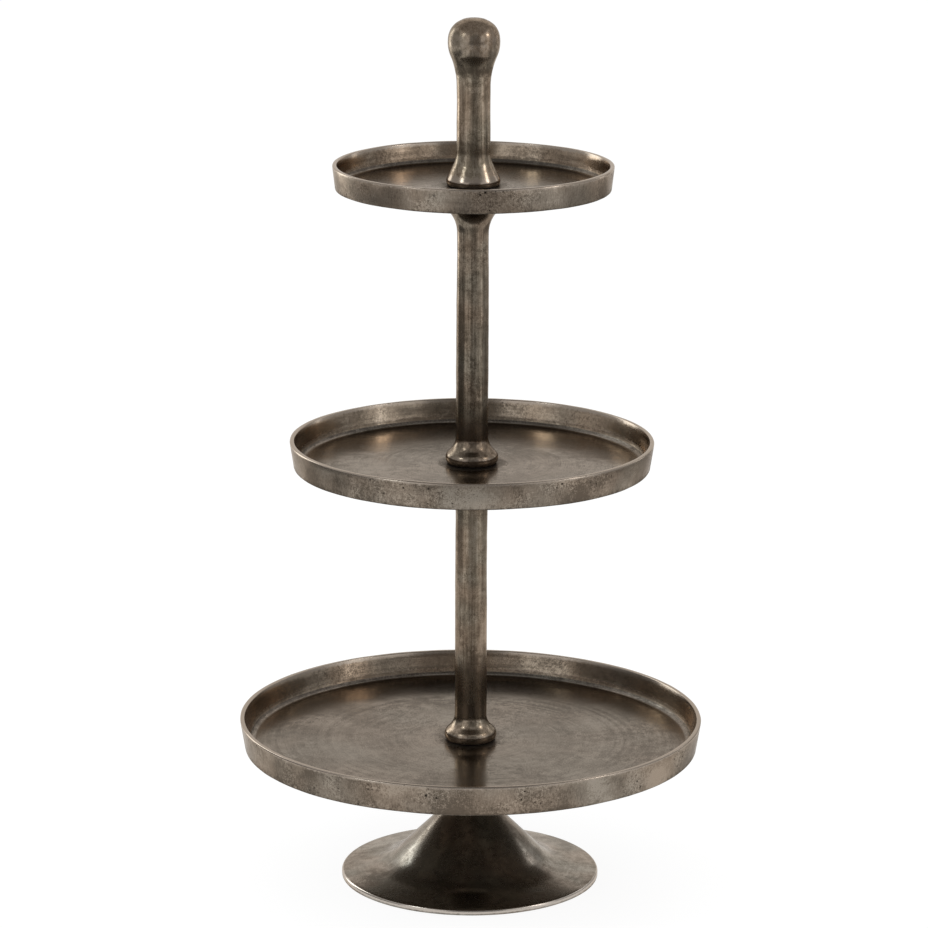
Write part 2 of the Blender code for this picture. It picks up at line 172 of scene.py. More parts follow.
def tray_casting(node):
    low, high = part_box(node)
    base, top, radius = low.z, high.z, high.x
    rim = top - base
    lean = atan(DRAFTS[node] / (rim - 2 * EDGE_ROUND))
    corner = radius - DRAFTS[node] - EDGE_ROUND
    under_radius = corner + (EDGE_ROUND - EDGE_ROUND * sin(lean)) / cos(lean)
    lip_radius = corner + (EDGE_ROUND + (rim - EDGE_ROUND) * sin(lean)) / cos(lean)
    inner_lip = radius - LIP_CORNER
    floor_radius = radius - DRAFTS[node] - FLOOR_CORNER
    floor_height = base + FLOORS[node]
    inner_lean = atan((inner_lip - floor_radius) / (top - floor_height))
    cove = fillet(COVE_ROUND, pi / 2 - inner_lean)
    under = fillet(EDGE_ROUND, pi / 2 - lean)

    piece = begin(
        node + "_casting", bpy.ops.mesh.primitive_cylinder_add, vertices=TRAY_SEGMENTS,
        radius=lip_radius, depth=rim, end_fill_type="NGON", location=(0, 0, base + rim / 2))
    pick("VERT", lambda p: p.z < base + NEAR)
    widen(under_radius / lip_radius, base)
    pick("FACE", lambda p: p.z > top - NEAR)
    bpy.ops.mesh.inset(thickness=lip_radius - inner_lip)
    extrude_up(floor_height - top)
    widen(floor_radius / inner_lip, floor_height)

    round_ring(floor_radius, floor_height, cove, COVE_STEPS)
    round_ring(inner_lip, top, fillet(LIP_INNER_ROUND, pi / 2 - inner_lean), LIP_INNER_STEPS)
    round_ring(lip_radius, top, fillet(EDGE_ROUND, pi / 2 + lean), EDGE_STEPS)
    round_ring(under_radius, base, under, EDGE_STEPS)
    cut_rows(floor_height + COVE_ROUND, top - EDGE_ROUND * 2)
    inset_rings(floor_radius - cove, floor_height)
    inset_rings(under_radius - under, base)
    pick("FACE", lambda p: hypot(p.x, p.y) < NEAR)
    bpy.ops.mesh.delete(type="FACE")
    pick("EDGE", lambda p: hypot(p.x, p.y) < STUD_HOLE + NEAR)
    bpy.ops.mesh.bridge_edge_loops()
    return end(piece)


trays = {node: tray_casting(node) for node in DRAFTS}
for piece in trays.values():
    print(piece.name, "faces:", len(piece.data.polygons))

# %% [markdown]
# The columns, the handle and the foot are turned shapes: each is round all the way, and only its
# radius changes with height. On the real table a lathe trues them after casting. Here one ring of
# vertices does the lathe's work. It starts at one end and is extruded and scaled through each point
# of the outline, so the outline is all that has to be drawn. Its round stretches are arcs.

# %% Outlines and the ring that follows them
END_STEPS = 14


def arc(centre, radius, start, stop, steps):
    """Points of an arc as (radius, height); angles run from outwards towards up."""
    angles = [start + (stop - start) * step / steps for step in range(steps + 1)]
    return [(centre[0] + radius * cos(a), centre[1] + radius * sin(a)) for a in angles]


def turned_end(shaft, reach, nose, undercut, join, flank=0.0):
    """A turned end that stands on its flat face: a rounded nose, a straight flank where it has one,
    then a hollow sweep to the shaft."""
    centre = (reach - nose, nose * sin(undercut))
    sweep = (centre[0] + nose * cos(join) - flank * sin(join) - shaft) / (1 - cos(join))
    sweep_centre = (shaft + sweep, centre[1] + (nose + sweep) * sin(join) + flank * cos(join))
    onto_shaft = arc(sweep_centre, sweep, pi + join, pi, END_STEPS)
    return arc(centre, nose, -undercut, join, END_STEPS) + (onto_shaft if flank else onto_shaft[1:])


def upside_down(outline, top):
    return [(r, top - z) for r, z in reversed(outline)]


def with_stations(outline, longest):
    """Splits the long straight stretches, so that no two rings are further apart than this."""
    points = outline[:1]
    for (r0, z0), (r1, z1) in zip(outline, outline[1:]):
        parts = max(1, round(hypot(r1 - r0, z1 - z0) / longest))
        points += [(r0 + (r1 - r0) * k / parts, z0 + (z1 - z0) * k / parts) for k in range(1, parts + 1)]
    return points


def turn(name, outline, base, segments):
    """Carries a ring of vertices along the outline. A ring that comes back to its start closes there;
    otherwise its start is capped, and its end runs together on the centre line."""
    first_radius, first_height = outline[0]
    piece = begin(
        name, bpy.ops.mesh.primitive_circle_add, vertices=segments, radius=first_radius,
        fill_type="NOTHING", location=(0, 0, base + first_height))
    bpy.ops.mesh.select_mode(type="VERT")
    bpy.ops.mesh.select_all(action="SELECT")
    if outline[0] != outline[-1]:
        bpy.ops.mesh.edge_face_add()
    for (r0, z0), (r1, z1) in zip(outline, outline[1:]):
        extrude_up(z1 - z0)
        widen(r1 / r0, base + z1)
    return end(piece)


quarter = arc((0, 0), 1, 0, pi / 2, 4)
print("a quarter circle in four steps:", [(round(r, 2), round(z, 2)) for r, z in quarter])

# %% [markdown]
# Each column spreads at both ends: a rounded bead where it stands on a tray, and a wide capital under
# the next tray, so that the joint doesn't rock. Both come from the same kind of end, turned upside
# down for the capital. The bore stays open inside, where the bushes and studs sit.

# %% Columns
COLUMN_SEGMENTS = 128
COLUMN_BORE = 0.0123
STATION_STEP = 0.0050
COLUMN_FOOT = {
    "shaft": 0.0177, "reach": 0.0288, "nose": 0.0090, "undercut": radians(38), "join": radians(45),
    "flank": 0.0040}
CAPITAL = {"shaft": 0.0173, "reach": 0.0380, "nose": 0.0100, "undercut": radians(63), "join": radians(58)}


def column_casting(node):
    low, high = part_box(node)
    length = high.z - low.z
    outside = turned_end(**COLUMN_FOOT) + upside_down(turned_end(**CAPITAL), length)
    outline = with_stations(outside + [(COLUMN_BORE, length), (COLUMN_BORE, 0.0)], STATION_STEP)
    return turn(node + "_casting", outline + outline[:1], low.z, COLUMN_SEGMENTS)


columns = {node: column_casting(node) for node in ("lower_column", "upper_column")}
for piece in columns.values():
    print(piece.name, "faces:", len(piece.data.polygons))

# %% [markdown]
# The handle is one casting with its knob. The knob isn't a true ball: it is a little flat on top, and
# a long hollow sweep joins it to the grip. The flat dome is a superellipse, which is a circle whose
# power of two is made slightly larger. Its foot has a straight flank, which draws out the lamps'
# highlights into the long lines of the photograph.

# %% Handle
HANDLE_BORE = 0.0123
KNOB_CAP = 0.0300
KNOB_DOME_HEIGHT = 0.0253
KNOB_DOME_POWER = 2.3
KNOB_DOME_STEPS = 20
HANDLE_FOOT = {
    "shaft": 0.0183, "reach": 0.0292, "nose": 0.0075, "undercut": radians(28), "join": radians(26),
    "flank": 0.0150}
KNOB = {"shaft": 0.0183, "reach": 0.0281, "nose": 0.0404, "undercut": 0.0, "join": radians(23.3)}


def knob_dome(equator):
    power = 2 / KNOB_DOME_POWER
    points = []
    for step in range(1, KNOB_DOME_STEPS):
        angle = pi / 2 * step / KNOB_DOME_STEPS
        rise = KNOB_DOME_HEIGHT * sin(angle) ** power
        points.append((KNOB["reach"] * cos(angle) ** power, equator + rise))
    return points


def handle_casting(node):
    low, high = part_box(node)
    length = high.z - low.z
    equator = length - KNOB_DOME_HEIGHT
    outside = turned_end(**HANDLE_FOOT) + upside_down(turned_end(**KNOB), equator)
    outline = [(HANDLE_BORE, length - KNOB_CAP), (HANDLE_BORE, 0.0)] + outside + knob_dome(equator)
    outline = with_stations(outline + [(0.0, length)], STATION_STEP)
    return turn(node + "_casting", outline, low.z, COLUMN_SEGMENTS)


handle = handle_casting("handle")
print(handle.name, "faces:", len(handle.data.polygons))

# %% [markdown]
# The foot is a trumpet: a nearly level disc with a rounded rim, a bend up onto a bell with a straight
# flank, and a hollow sweep from there to the neck. The edge of the dark patch that the tray mirrors in
# it gives those slopes away. The inside is the same curve, drawn one wall further in. Under the rim a
# shallow rebate holds four felt pads, and the hollow ends at the hub that the bolt pulls against.

# %% Foot
FOOT_SEGMENTS = 256
BEND_STEPS = 24
WALL = 0.0055
RIM_HEIGHT = 0.0060
RIM_ROUND = 0.0030
RIM_STEPS = 8
DISC_WIDTH = 0.0318
DISC_SLOPE = radians(9.5)
BEND = 0.0520
SWEEP = 0.0450
NECK = 0.0230
NECK_LENGTH = 0.0060
SKIRT = 0.0030
PAD_LAND = 0.0140
PAD_REBATE = 0.0010
HUB_DEPTH = 0.0330
FOOT_HEAD = {"shaft": NECK, "reach": 0.0405, "nose": 0.0060, "undercut": radians(45), "join": radians(50)}


def flank_turn(high, high_radius, low, low_radius):
    """The angle at which one straight line touches two rounds, both on the side of the centre line."""
    across, up = low[0] - high[0], low[1] - high[1]
    return atan2(up, across) - acos((high_radius - low_radius) / hypot(across, up))


def bell(disc_edge, neck_end, inset=0.0):
    """Points down the bell, from its neck to the disc."""
    inner = disc_edge - DISC_WIDTH
    sweep_centre = (NECK + SWEEP, neck_end)
    disc_top = RIM_HEIGHT + DISC_WIDTH * tan(DISC_SLOPE)
    bend_centre = (inner + BEND * sin(DISC_SLOPE), disc_top + BEND * cos(DISC_SLOPE))
    flank = flank_turn(sweep_centre, SWEEP, bend_centre, BEND)
    points = arc(sweep_centre, SWEEP + inset, -pi, flank, BEND_STEPS)
    return points + arc(bend_centre, BEND + inset, flank, -pi / 2 - DISC_SLOPE, BEND_STEPS)


def foot_casting(node):
    low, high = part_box(node)
    radius, height = high.x, high.z - low.z
    head = [(r, height - z) for r, z in turned_end(**FOOT_HEAD)]
    shoulder = (radius - RIM_ROUND, RIM_HEIGHT - RIM_ROUND)
    neck_end = head[-1][1] - NECK_LENGTH
    outline = [(STUD_HOLE, height)] + head + bell(shoulder[0], neck_end)
    outline += arc(shoulder, RIM_ROUND, pi / 2 - DISC_SLOPE, 0.0, RIM_STEPS)
    land, land_inner = radius - SKIRT, radius - SKIRT - PAD_LAND
    ceiling = RIM_HEIGHT + (shoulder[0] - land_inner) * tan(DISC_SLOPE) - WALL / cos(DISC_SLOPE)
    outline += [(radius, 0.0), (land, 0.0), (land, PAD_REBATE)]
    outline += [(land_inner, PAD_REBATE), (land_inner, ceiling)]
    outline += reversed(bell(shoulder[0], neck_end, WALL))
    outline += [(NECK - WALL, height - HUB_DEPTH), (STUD_HOLE, height - HUB_DEPTH)]
    outline = with_stations(outline, STATION_STEP)
    return turn(node + "_casting", outline + outline[:1], low.z, FOOT_SEGMENTS)


foot = foot_casting("foot")
print(foot.name, "faces:", len(foot.data.polygons))

# %% [markdown]
# Nothing cast in sand and buffed by hand is a perfect circle. The eye reads this from the way that
# highlights waver along a rim or a shaft. A Displace modifier moves the surface by a few tenths of a
# millimetre, once in slow swells and once in smaller dents. A weight keeps it off the flat seats, so
# that the castings still meet their washers.

# %% Hand-made unevenness
TRAY_SWELLS = ((0.160, 0.0010), (0.035, 0.0004))
COLUMN_SWELLS = ((0.060, 0.0011), (0.014, 0.0003))
FOOT_SWELLS = ((0.090, 0.0012), (0.025, 0.0003))
FREE_FROM_CENTRE = (0.045, 0.075)
FREE_FROM_SEAT = (0.004, 0.020)
FREE_FROM_FLOOR = (0.003, 0.012)
FREE_FROM_HEAD = (0.010, 0.030)


def weigh(piece, weight):
    """Stores how freely each point may move, 0 to 1, by its distance from the centre line and height."""
    group = piece.vertex_groups.new(name="free")
    for vertex in piece.data.vertices:
        place = vertex.co
        group.add([vertex.index], weight(hypot(place.x, place.y), place.z), "REPLACE")


def swell(piece, swells):
    """Pushes the surface in and out by soft noises, each with its size and its depth in all."""
    for size, depth in swells:
        clouds = bpy.data.textures.new(piece.name + "_swell", "CLOUDS")
        clouds.noise_scale = size
        clouds.noise_depth = 1
        step = piece.modifiers.new("swell", "DISPLACE")
        step.texture = clouds
        step.texture_coords = "LOCAL"
        step.strength = depth
        step.vertex_group = "free"
        bpy.context.view_layer.objects.active = piece
        bpy.ops.object.modifier_apply(modifier=step.name)


def smooth(value, start, stop):
    """0 before start, 1 after stop, and a soft step between."""
    share = min(1.0, max(0.0, (value - start) / (stop - start)))
    return share * share * (3 - 2 * share)


def off_seats(z, *seats):
    """How free a point is that keeps away from the flat seats at these heights."""
    return smooth(min(abs(z - seat) for seat in seats), *FREE_FROM_SEAT)


for piece in trays.values():
    weigh(piece, lambda r, z: smooth(r, *FREE_FROM_CENTRE))
    swell(piece, TRAY_SWELLS)

for node, piece in {**columns, "handle": handle}.items():
    low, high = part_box(node)
    seats = (low.z,) if node == "handle" else (low.z, high.z)
    weigh(piece, lambda r, z: off_seats(z, *seats) * (r > COLUMN_BORE + NEAR))
    swell(piece, COLUMN_SWELLS)

foot_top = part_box("foot")[1].z
weigh(foot, lambda r, z: smooth(z, *FREE_FROM_FLOOR) * smooth(foot_top - z, *FREE_FROM_HEAD))
swell(foot, FOOT_SWELLS)
castings = {**trays, **columns, "handle": handle, "foot": foot}
print("uneven castings:", len(castings))

# %% [markdown]
# Cloths and hands reach the edges first, so the lips, the beads, the capitals, the lowest stretch of
# each shaft and the knob are worn bright, while the hollows get painted shade below. Each casting
# carries that as a number on its points, called worn, which its material reads. The number is highest
# on the edge itself and fades within its reach, so each place is given as how much and how far.

# %% Where the castings are worn bright
BEAD_HEIGHT = 0.006
SHAFT_START = 0.036
CAPITAL_DROP = 0.010
LIP_WEAR = (1.00, 0.0040)
RIM_WEAR = (1.00, 0.0035)
BEAD_WEAR = (0.60, 0.012)
SHAFT_WEAR = (0.62, 0.026)
CAPITAL_WEAR = (0.60, 0.018)
HANDLE_BEAD_WEAR = (0.85, 0.013)
KNOB_WEAR = (0.50, 0.045)


def mark(name, piece, amount):
    """Stores a number on each point, by its distance from the centre line and its height."""
    layer = piece.data.attributes.new(name, "FLOAT", "POINT")
    values = [amount(hypot(v.co.x, v.co.y), v.co.z) for v in piece.data.vertices]
    layer.data.foreach_set("value", values)


def near(distance, most, reach):
    return most * (1.0 - smooth(abs(distance), 0.0, reach))


for node, piece in trays.items():
    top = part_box(node)[1].z
    mark("worn", piece, lambda r, z: near(top - z, *LIP_WEAR))
for node, piece in columns.items():
    low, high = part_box(node)
    bead, shaft_start, capital = low.z + BEAD_HEIGHT, low.z + SHAFT_START, high.z - CAPITAL_DROP
    mark("worn", piece, lambda r, z: max(
        near(z - bead, *BEAD_WEAR), near(z - shaft_start, *SHAFT_WEAR), near(z - capital, *CAPITAL_WEAR)))
low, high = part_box("handle")
bead, knob = low.z + BEAD_HEIGHT, high.z - KNOB_DOME_HEIGHT
mark("worn", handle, lambda r, z: max(near(z - bead, *HANDLE_BEAD_WEAR), near(z - knob, *KNOB_WEAR)))
rim_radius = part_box("foot")[1].x
mark("worn", foot, lambda r, z: near(rim_radius - r, *RIM_WEAR) * (z > RIM_ROUND / 2))
print("wear marked on", len(castings), "castings")

# %% [markdown]
# The opposite of wear is painted shade: a number on each point, called painted_shade, darkens the
# colour where shade falls: round the column feet and in the cove of each tray, along the lower edge of
# the rims, where the columns and the handle meet the trays, under the knob and on the head of the foot.

# %% Where shade is painted
SEAT_RADIUS = 0.029
COVE_RISE = 0.0045
WALL_BACK = 0.0055
COVE_BAND = 0.020
KNOB_HOLLOW = 0.056
# How dark the painted shade is at each place, and how far it reaches.
SEAT_PAINTED_SHADE = (0.80, 0.020)
COVE_PAINTED_SHADE = (0.85, 0.0060)
EDGE_PAINTED_SHADE = (1.00, 0.003)
HANDLE_EDGE_PAINTED_SHADE = (1.00, 0.0015)
HOLLOW_PAINTED_SHADE = (0.70, 0.014)
HEAD_PAINTED_SHADE = (1.00, 0.030)

# Painted shade round the column feet, along the lower edge of each rim and in the cove.
for node, piece in trays.items():
    low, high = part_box(node)
    base, cove, inside = low.z, low.z + FLOORS[node] + COVE_RISE, high.x - WALL_BACK
    mark("painted_shade", piece, lambda r, z: max(
        near(r - SEAT_RADIUS, *SEAT_PAINTED_SHADE), near(z - base, *EDGE_PAINTED_SHADE),
        near(z - cove, *COVE_PAINTED_SHADE) * (inside - COVE_BAND < r < inside)))
# Painted shade where each column stands on its tray.
for node, piece in columns.items():
    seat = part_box(node)[0].z
    mark("painted_shade", piece, lambda r, z: near(z - seat, *EDGE_PAINTED_SHADE))
# Painted shade where the handle stands on the top tray and under the knob.
low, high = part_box("handle")
seat, hollow = low.z, high.z - KNOB_HOLLOW
mark("painted_shade", handle, lambda r, z: max(near(z - seat, *HANDLE_EDGE_PAINTED_SHADE), near(hollow - z, *HOLLOW_PAINTED_SHADE)))
# Painted shade on the head of the foot, under the lowest tray.
mark("painted_shade", foot, lambda r, z: near(foot_top - z, *HEAD_PAINTED_SHADE))
print("grime marked on", len(castings), "castings")

# %% [markdown]
# The small hardware only shows from below: the bolt with its two washers in the hollow of the foot,
# and the felt pads. A bolt head isn't a plain prism. Its corners are turned off by a cone, which is a
# Boolean between the prism and a disc that narrows.

# %% Bolt and washer
HARDWARE_SEGMENTS = 64
HARDWARE_STEPS = 4
HARDWARE_ANGLE = radians(20)
HEAD_HEIGHT = 0.79
HEX_CHAMFER = radians(30)
CHAMFER_DROP = 1.6
CHAMFER_REACH = 1.2
CHAMFER_FACE = 0.96
SHANK_RADIUS = 0.0057
SHANK_TIP = 0.001
OVERLAP = 0.001
BURR = 0.0002
WASHER_HOLE = 0.0068
WASHER_ROLL = 0.3


def combine(piece, tool, operation):
    """Joins or cuts with another closed mesh, which is used up."""
    step = piece.modifiers.new(operation.lower(), "BOOLEAN")
    step.operation = operation
    step.solver = "EXACT"
    step.object = tool
    bpy.context.view_layer.objects.active = piece
    bpy.ops.object.modifier_apply(modifier=step.name)
    bpy.data.objects.remove(tool, do_unlink=True)


def prism(name, vertices, radius, low, high):
    """A cylinder or a prism on the centre line, between two heights, open to edit."""
    return begin(
        name, bpy.ops.mesh.primitive_cylinder_add, vertices=vertices, radius=radius,
        depth=high - low, location=(0, 0, (low + high) / 2))


def disc(name, radius, low, high, round_low, round_high):
    """A disc whose lower and upper edges are rounded."""
    piece = prism(name, HARDWARE_SEGMENTS, radius, low, high)
    round_ring(radius, low, round_low, HARDWARE_STEPS)
    round_ring(radius, high, round_high, HARDWARE_STEPS)
    return end(piece)


def chamfer_cutter(corner, flats, low, high):
    """A disc that narrows to a cone at its lower end, which turns off the corners of a bolt head."""
    drop = 2 * (corner - flats) * CHAMFER_DROP * tan(HEX_CHAMFER)
    cutter = prism("chamfer", HARDWARE_SEGMENTS, corner * CHAMFER_REACH, low, high)
    pick("VERT", lambda p: p.z < low + NEAR)
    bpy.ops.mesh.delete(type="VERT")
    pick("VERT", lambda p: p.z > low)
    bpy.ops.mesh.edge_face_add()
    extrude_up(low + drop - high)
    extrude_up(-drop)
    widen(flats * CHAMFER_FACE / (corner * CHAMFER_REACH), low)
    return end(cutter)


def bolt(node):
    """A hexagon head with turned corners, joined to a shank with a rounded tip."""
    low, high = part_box(node)
    corner = high.y
    flats = corner * cos(pi / 6)
    head_top = low.z + flats * HEAD_HEIGHT
    piece = prism("foot_hex_bolt", 6, corner, low.z, head_top)
    bpy.ops.object.mode_set(mode="OBJECT")
    combine(piece, chamfer_cutter(corner, flats, low.z, head_top), "INTERSECT")
    shank = disc("shank", SHANK_RADIUS, head_top - OVERLAP, high.z, BURR, SHANK_TIP)
    combine(piece, shank, "UNION")
    bpy.ops.object.mode_set(mode="EDIT")
    return end(piece, HARDWARE_ANGLE)


def washer(name, node):
    """A washer with a rolled outer edge, cut open in the middle by a disc."""
    low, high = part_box(node)
    roll = (high.z - low.z) * WASHER_ROLL
    piece = disc(name, high.x, low.z, high.z, roll, roll)
    hole = disc("hole", WASHER_HOLE, low.z - OVERLAP, high.z + OVERLAP, BURR, BURR)
    combine(piece, hole, "DIFFERENCE")
    bpy.ops.object.mode_set(mode="EDIT")
    return end(piece)


bolt_piece = bolt("foot_bolt")
plain_washer = washer("foot_plain_washer", "foot_bolt_washer")
print(bolt_piece.name, len(bolt_piece.data.polygons), "faces;", plain_washer.name, "is ready")

# %% [markdown]
# A spring washer is a short length of square bar bent into a ring, with a slit where its ends meet.
# So a small block is added beside the centre line, and its end face is spun round to almost close.
# One fault is left in it. The spin turns clockwise, back through the block, which folds the first
# 0.4 mm of the bar and makes its faces look inwards. A minus sign before the angle would mend that.
# The felt pads are punched discs. Their edges are pressed soft, and their faces swell a little.

# %% Spring washer and felt pads
SLIT = radians(14)
BAR_START = 0.0004
BAR_STEPS = 60
PAD_SEGMENTS = 48
PAD_EDGE = 0.0004
PAD_EDGE_STEPS = 3
PAD_RINGS = 5
PAD_SWELLS = ((0.0012, 0.00012),)


def spring_washer(node):
    low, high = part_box(node)
    width = high.x - WASHER_HOLE
    piece = begin(
        "foot_split_washer", bpy.ops.mesh.primitive_cube_add, size=1,
        location=(WASHER_HOLE + width / 2, BAR_START / 2, (low.z + high.z) / 2),
        scale=(width, BAR_START, high.z - low.z))
    pick("FACE", lambda p: p.y > BAR_START - NEAR / 4)
    bpy.ops.mesh.spin(steps=BAR_STEPS, angle=2 * pi - SLIT, center=(0, 0, 0), axis=(0, 0, 1))
    return end(piece)


def felt_pad(node):
    """A punched disc of felt, added at its place with its edges pressed soft."""
    low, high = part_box(node)
    centre = (low + high) / 2
    radius = (high.x - low.x) / 2

    def from_centre(p):
        return hypot(p.x - centre.x, p.y - centre.y)

    piece = begin(
        node.replace("foot_pad", "foot_felt_pad"), bpy.ops.mesh.primitive_cylinder_add,
        vertices=PAD_SEGMENTS, radius=radius, depth=high.z - low.z, location=centre)
    pick("EDGE", lambda p: abs(from_centre(p) - radius) < NEAR and abs(p.z - centre.z) > NEAR)
    bpy.ops.mesh.bevel(offset=PAD_EDGE, segments=PAD_EDGE_STEPS, affect="EDGES")
    pick("FACE", lambda p: from_centre(p) < NEAR)
    for _ in range(PAD_RINGS):
        bpy.ops.mesh.inset(thickness=radius / (PAD_RINGS + 1), use_individual=True)
    return end(piece)


split_washer = spring_washer("foot_spring_washer")
pads = {node: felt_pad(node) for node in ("foot_pad_1", "foot_pad_2", "foot_pad_3", "foot_pad_4")}
for piece in pads.values():
    weigh(piece, lambda r, z: 1.0)
    swell(piece, PAD_SWELLS)
print(split_washer.name, "and", len(pads), "felt pads")

# %% [markdown]
# Every new piece rides on the table, which is one rigid body, and stands for the plain node that it
# replaces.

# %% Who rides and who replaces whom
ALUMINIUM_SLOT = "antique_cast_aluminium"
STEEL_SLOT = "zinc_steel"
FELT_SLOT = "felt"
hardware = {"foot_bolt": bolt_piece, "foot_bolt_washer": plain_washer, "foot_spring_washer": split_washer}
for group, finish_slot in ((castings, ALUMINIUM_SLOT), (hardware, STEEL_SLOT), (pads, FELT_SLOT)):
    for node, piece in group.items():
        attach(piece, "root")
        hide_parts(node)
new_pieces = len(castings) + len(hardware) + len(pads)
print("pieces riding:", new_pieces)

# %% [markdown]
# The metal is aluminium with a dark patina, rubbed back by hand. Close up it is cloudy: warm brown
# stays in the low places, grey metal shows on the high ones, and tiny casting pits hold black. These
# effects come back on every casting in other strengths, so each is a node group with named sockets.
# The groups give only numbers and colours. The shader stays in the material itself.

# %% Nodes by name
def add_node(tree, kind, inputs=None, **settings):
    """Adds a node; its inputs take values or other nodes' sockets."""
    made = tree.nodes.new(kind)
    for key, value in settings.items():
        setattr(made, key, value)
    for key, value in (inputs or {}).items():
        if isinstance(value, bpy.types.NodeSocket):
            tree.links.new(value, made.inputs[key])
        else:
            made.inputs[key].default_value = value
    return made


def maths(tree, operation, first, second=0.0, third=0.0):
    return add_node(tree, "ShaderNodeMath", {0: first, 1: second, 2: third}, operation=operation).outputs[0]


def add_share(tree, value, share, total):
    """Adds a share of a value to a total."""
    return maths(tree, "MULTIPLY_ADD", value, share, total)


def swing(tree, value):
    """A noise runs from 0 to 1; this makes it swing about zero."""
    return maths(tree, "SUBTRACT", value, 0.5)


def per(tree, size, count=1.0):
    """The scale at which a noise has features of this size, or this many times finer."""
    return maths(tree, "DIVIDE", count, size)


def vector_maths(tree, operation, first, second):
    return add_node(tree, "ShaderNodeVectorMath", {0: first, 1: second}, operation=operation).outputs[0]


def combine_xyz(tree, x, y, z=0.0):
    return add_node(tree, "ShaderNodeCombineXYZ", {0: x, 1: y, 2: z}).outputs[0]


def remap(tree, value, low, high, to_low=0.0, to_high=1.0):
    sockets = {"Value": value, "From Min": low, "From Max": high, "To Min": to_low, "To Max": to_high}
    return add_node(tree, "ShaderNodeMapRange", sockets, interpolation_type="SMOOTHSTEP").outputs["Result"]


def noise(tree, vector, scale, detail=2.0, roughness=0.5):
    sockets = {"Vector": vector, "Scale": scale, "Detail": detail, "Roughness": roughness}
    return add_node(tree, "ShaderNodeTexNoise", sockets).outputs["Fac"]


def blend(tree, share, first, second, **settings):
    """Mixes two colours. Sockets 0, 6 and 7 of the Mix node are the factor and the two colours."""
    sockets = {0: share, 6: first, 7: second}
    return add_node(tree, "ShaderNodeMix", sockets, data_type="RGBA", **settings).outputs[2]


def new_group(name, inputs, outputs):
    """An empty node group with named sockets, and its two ends."""
    tree = bpy.data.node_groups.new(name, "ShaderNodeTree")
    for label, value in inputs.items():
        kind = "NodeSocketVector" if value is None else "NodeSocketFloat"
        socket = tree.interface.new_socket(name=label, in_out="INPUT", socket_type=kind)
        if value is not None:
            socket.default_value = value
    for label in outputs:
        tree.interface.new_socket(name=label, in_out="OUTPUT", socket_type="NodeSocketFloat")
    return tree, tree.nodes.new("NodeGroupInput").outputs, tree.nodes.new("NodeGroupOutput").inputs


def use(tree, group, inputs):
    return add_node(tree, "ShaderNodeGroup", inputs, node_tree=group).outputs


print("node helpers ready")

# %% [markdown]
# The patina's lightness is a sum of three noises: clouds as wide as a hand, mottling as wide as a
# fingertip and grain as fine as sand. Each has its own size and share, so one group serves the open
# tray floors and the narrow columns. It also gives a slow tint that turns the grey browner or greener,
# and patches where the rough skin of the casting was left standing.

# %% Node group: the tone of cast metal
TONE_LAYERS = {"Cloud": 3.0, "Mottle": 4.0, "Grain": 2.0}
TONE_ROUGHNESS = 0.55
SLOW_LAYERS = {
    "Tint": {"shift": (0.37, 0.11, 0.53), "finer": 0.7, "between": (0.35, 0.65)},
    "Patch": {"shift": (0.91, 0.29, 0.07), "finer": 1.1, "between": (0.44, 0.62)},
}


def casting_tone_group():
    sizes = {"Cloud Size": 0.045, "Mottle Size": 0.008, "Grain Size": 0.0014}
    shares = {"Cloud Share": 1.0, "Mottle Share": 1.0, "Grain Share": 0.5}
    wanted = {"Vector": None, **sizes, **shares}
    tree, given, result = new_group("casting_tone", wanted, ("Tone", "Mottle", "Grain", "Tint", "Patch"))
    total = 0.5
    for layer, detail in TONE_LAYERS.items():
        value = noise(tree, given["Vector"], per(tree, given[layer + " Size"]), detail, TONE_ROUGHNESS)
        total = add_share(tree, swing(tree, value), given[layer + " Share"], total)
        if layer != "Cloud":
            tree.links.new(value, result[layer])
    tree.links.new(total, result["Tone"])
    for layer, slow in SLOW_LAYERS.items():
        moved = vector_maths(tree, "ADD", given["Vector"], slow["shift"])
        value = noise(tree, moved, per(tree, given["Cloud Size"], slow["finer"]))
        tree.links.new(remap(tree, value, *slow["between"]), result[layer])
    return tree


casting_tone = casting_tone_group()
print(casting_tone.name, "has", len(casting_tone.nodes), "nodes")

# %% [markdown]
# Sand leaves pits where a grain washed out, and polish turns their bottoms black. A Voronoi pattern
# gives one spot to each cell. A random number per cell keeps only some of the spots, and a noise added
# to the place makes them ragged instead of round.

# %% Node group: casting pits
RAGGED_FINER = 2.5
SMALLEST_PIT = 0.3
PIT_EDGE = 0.5


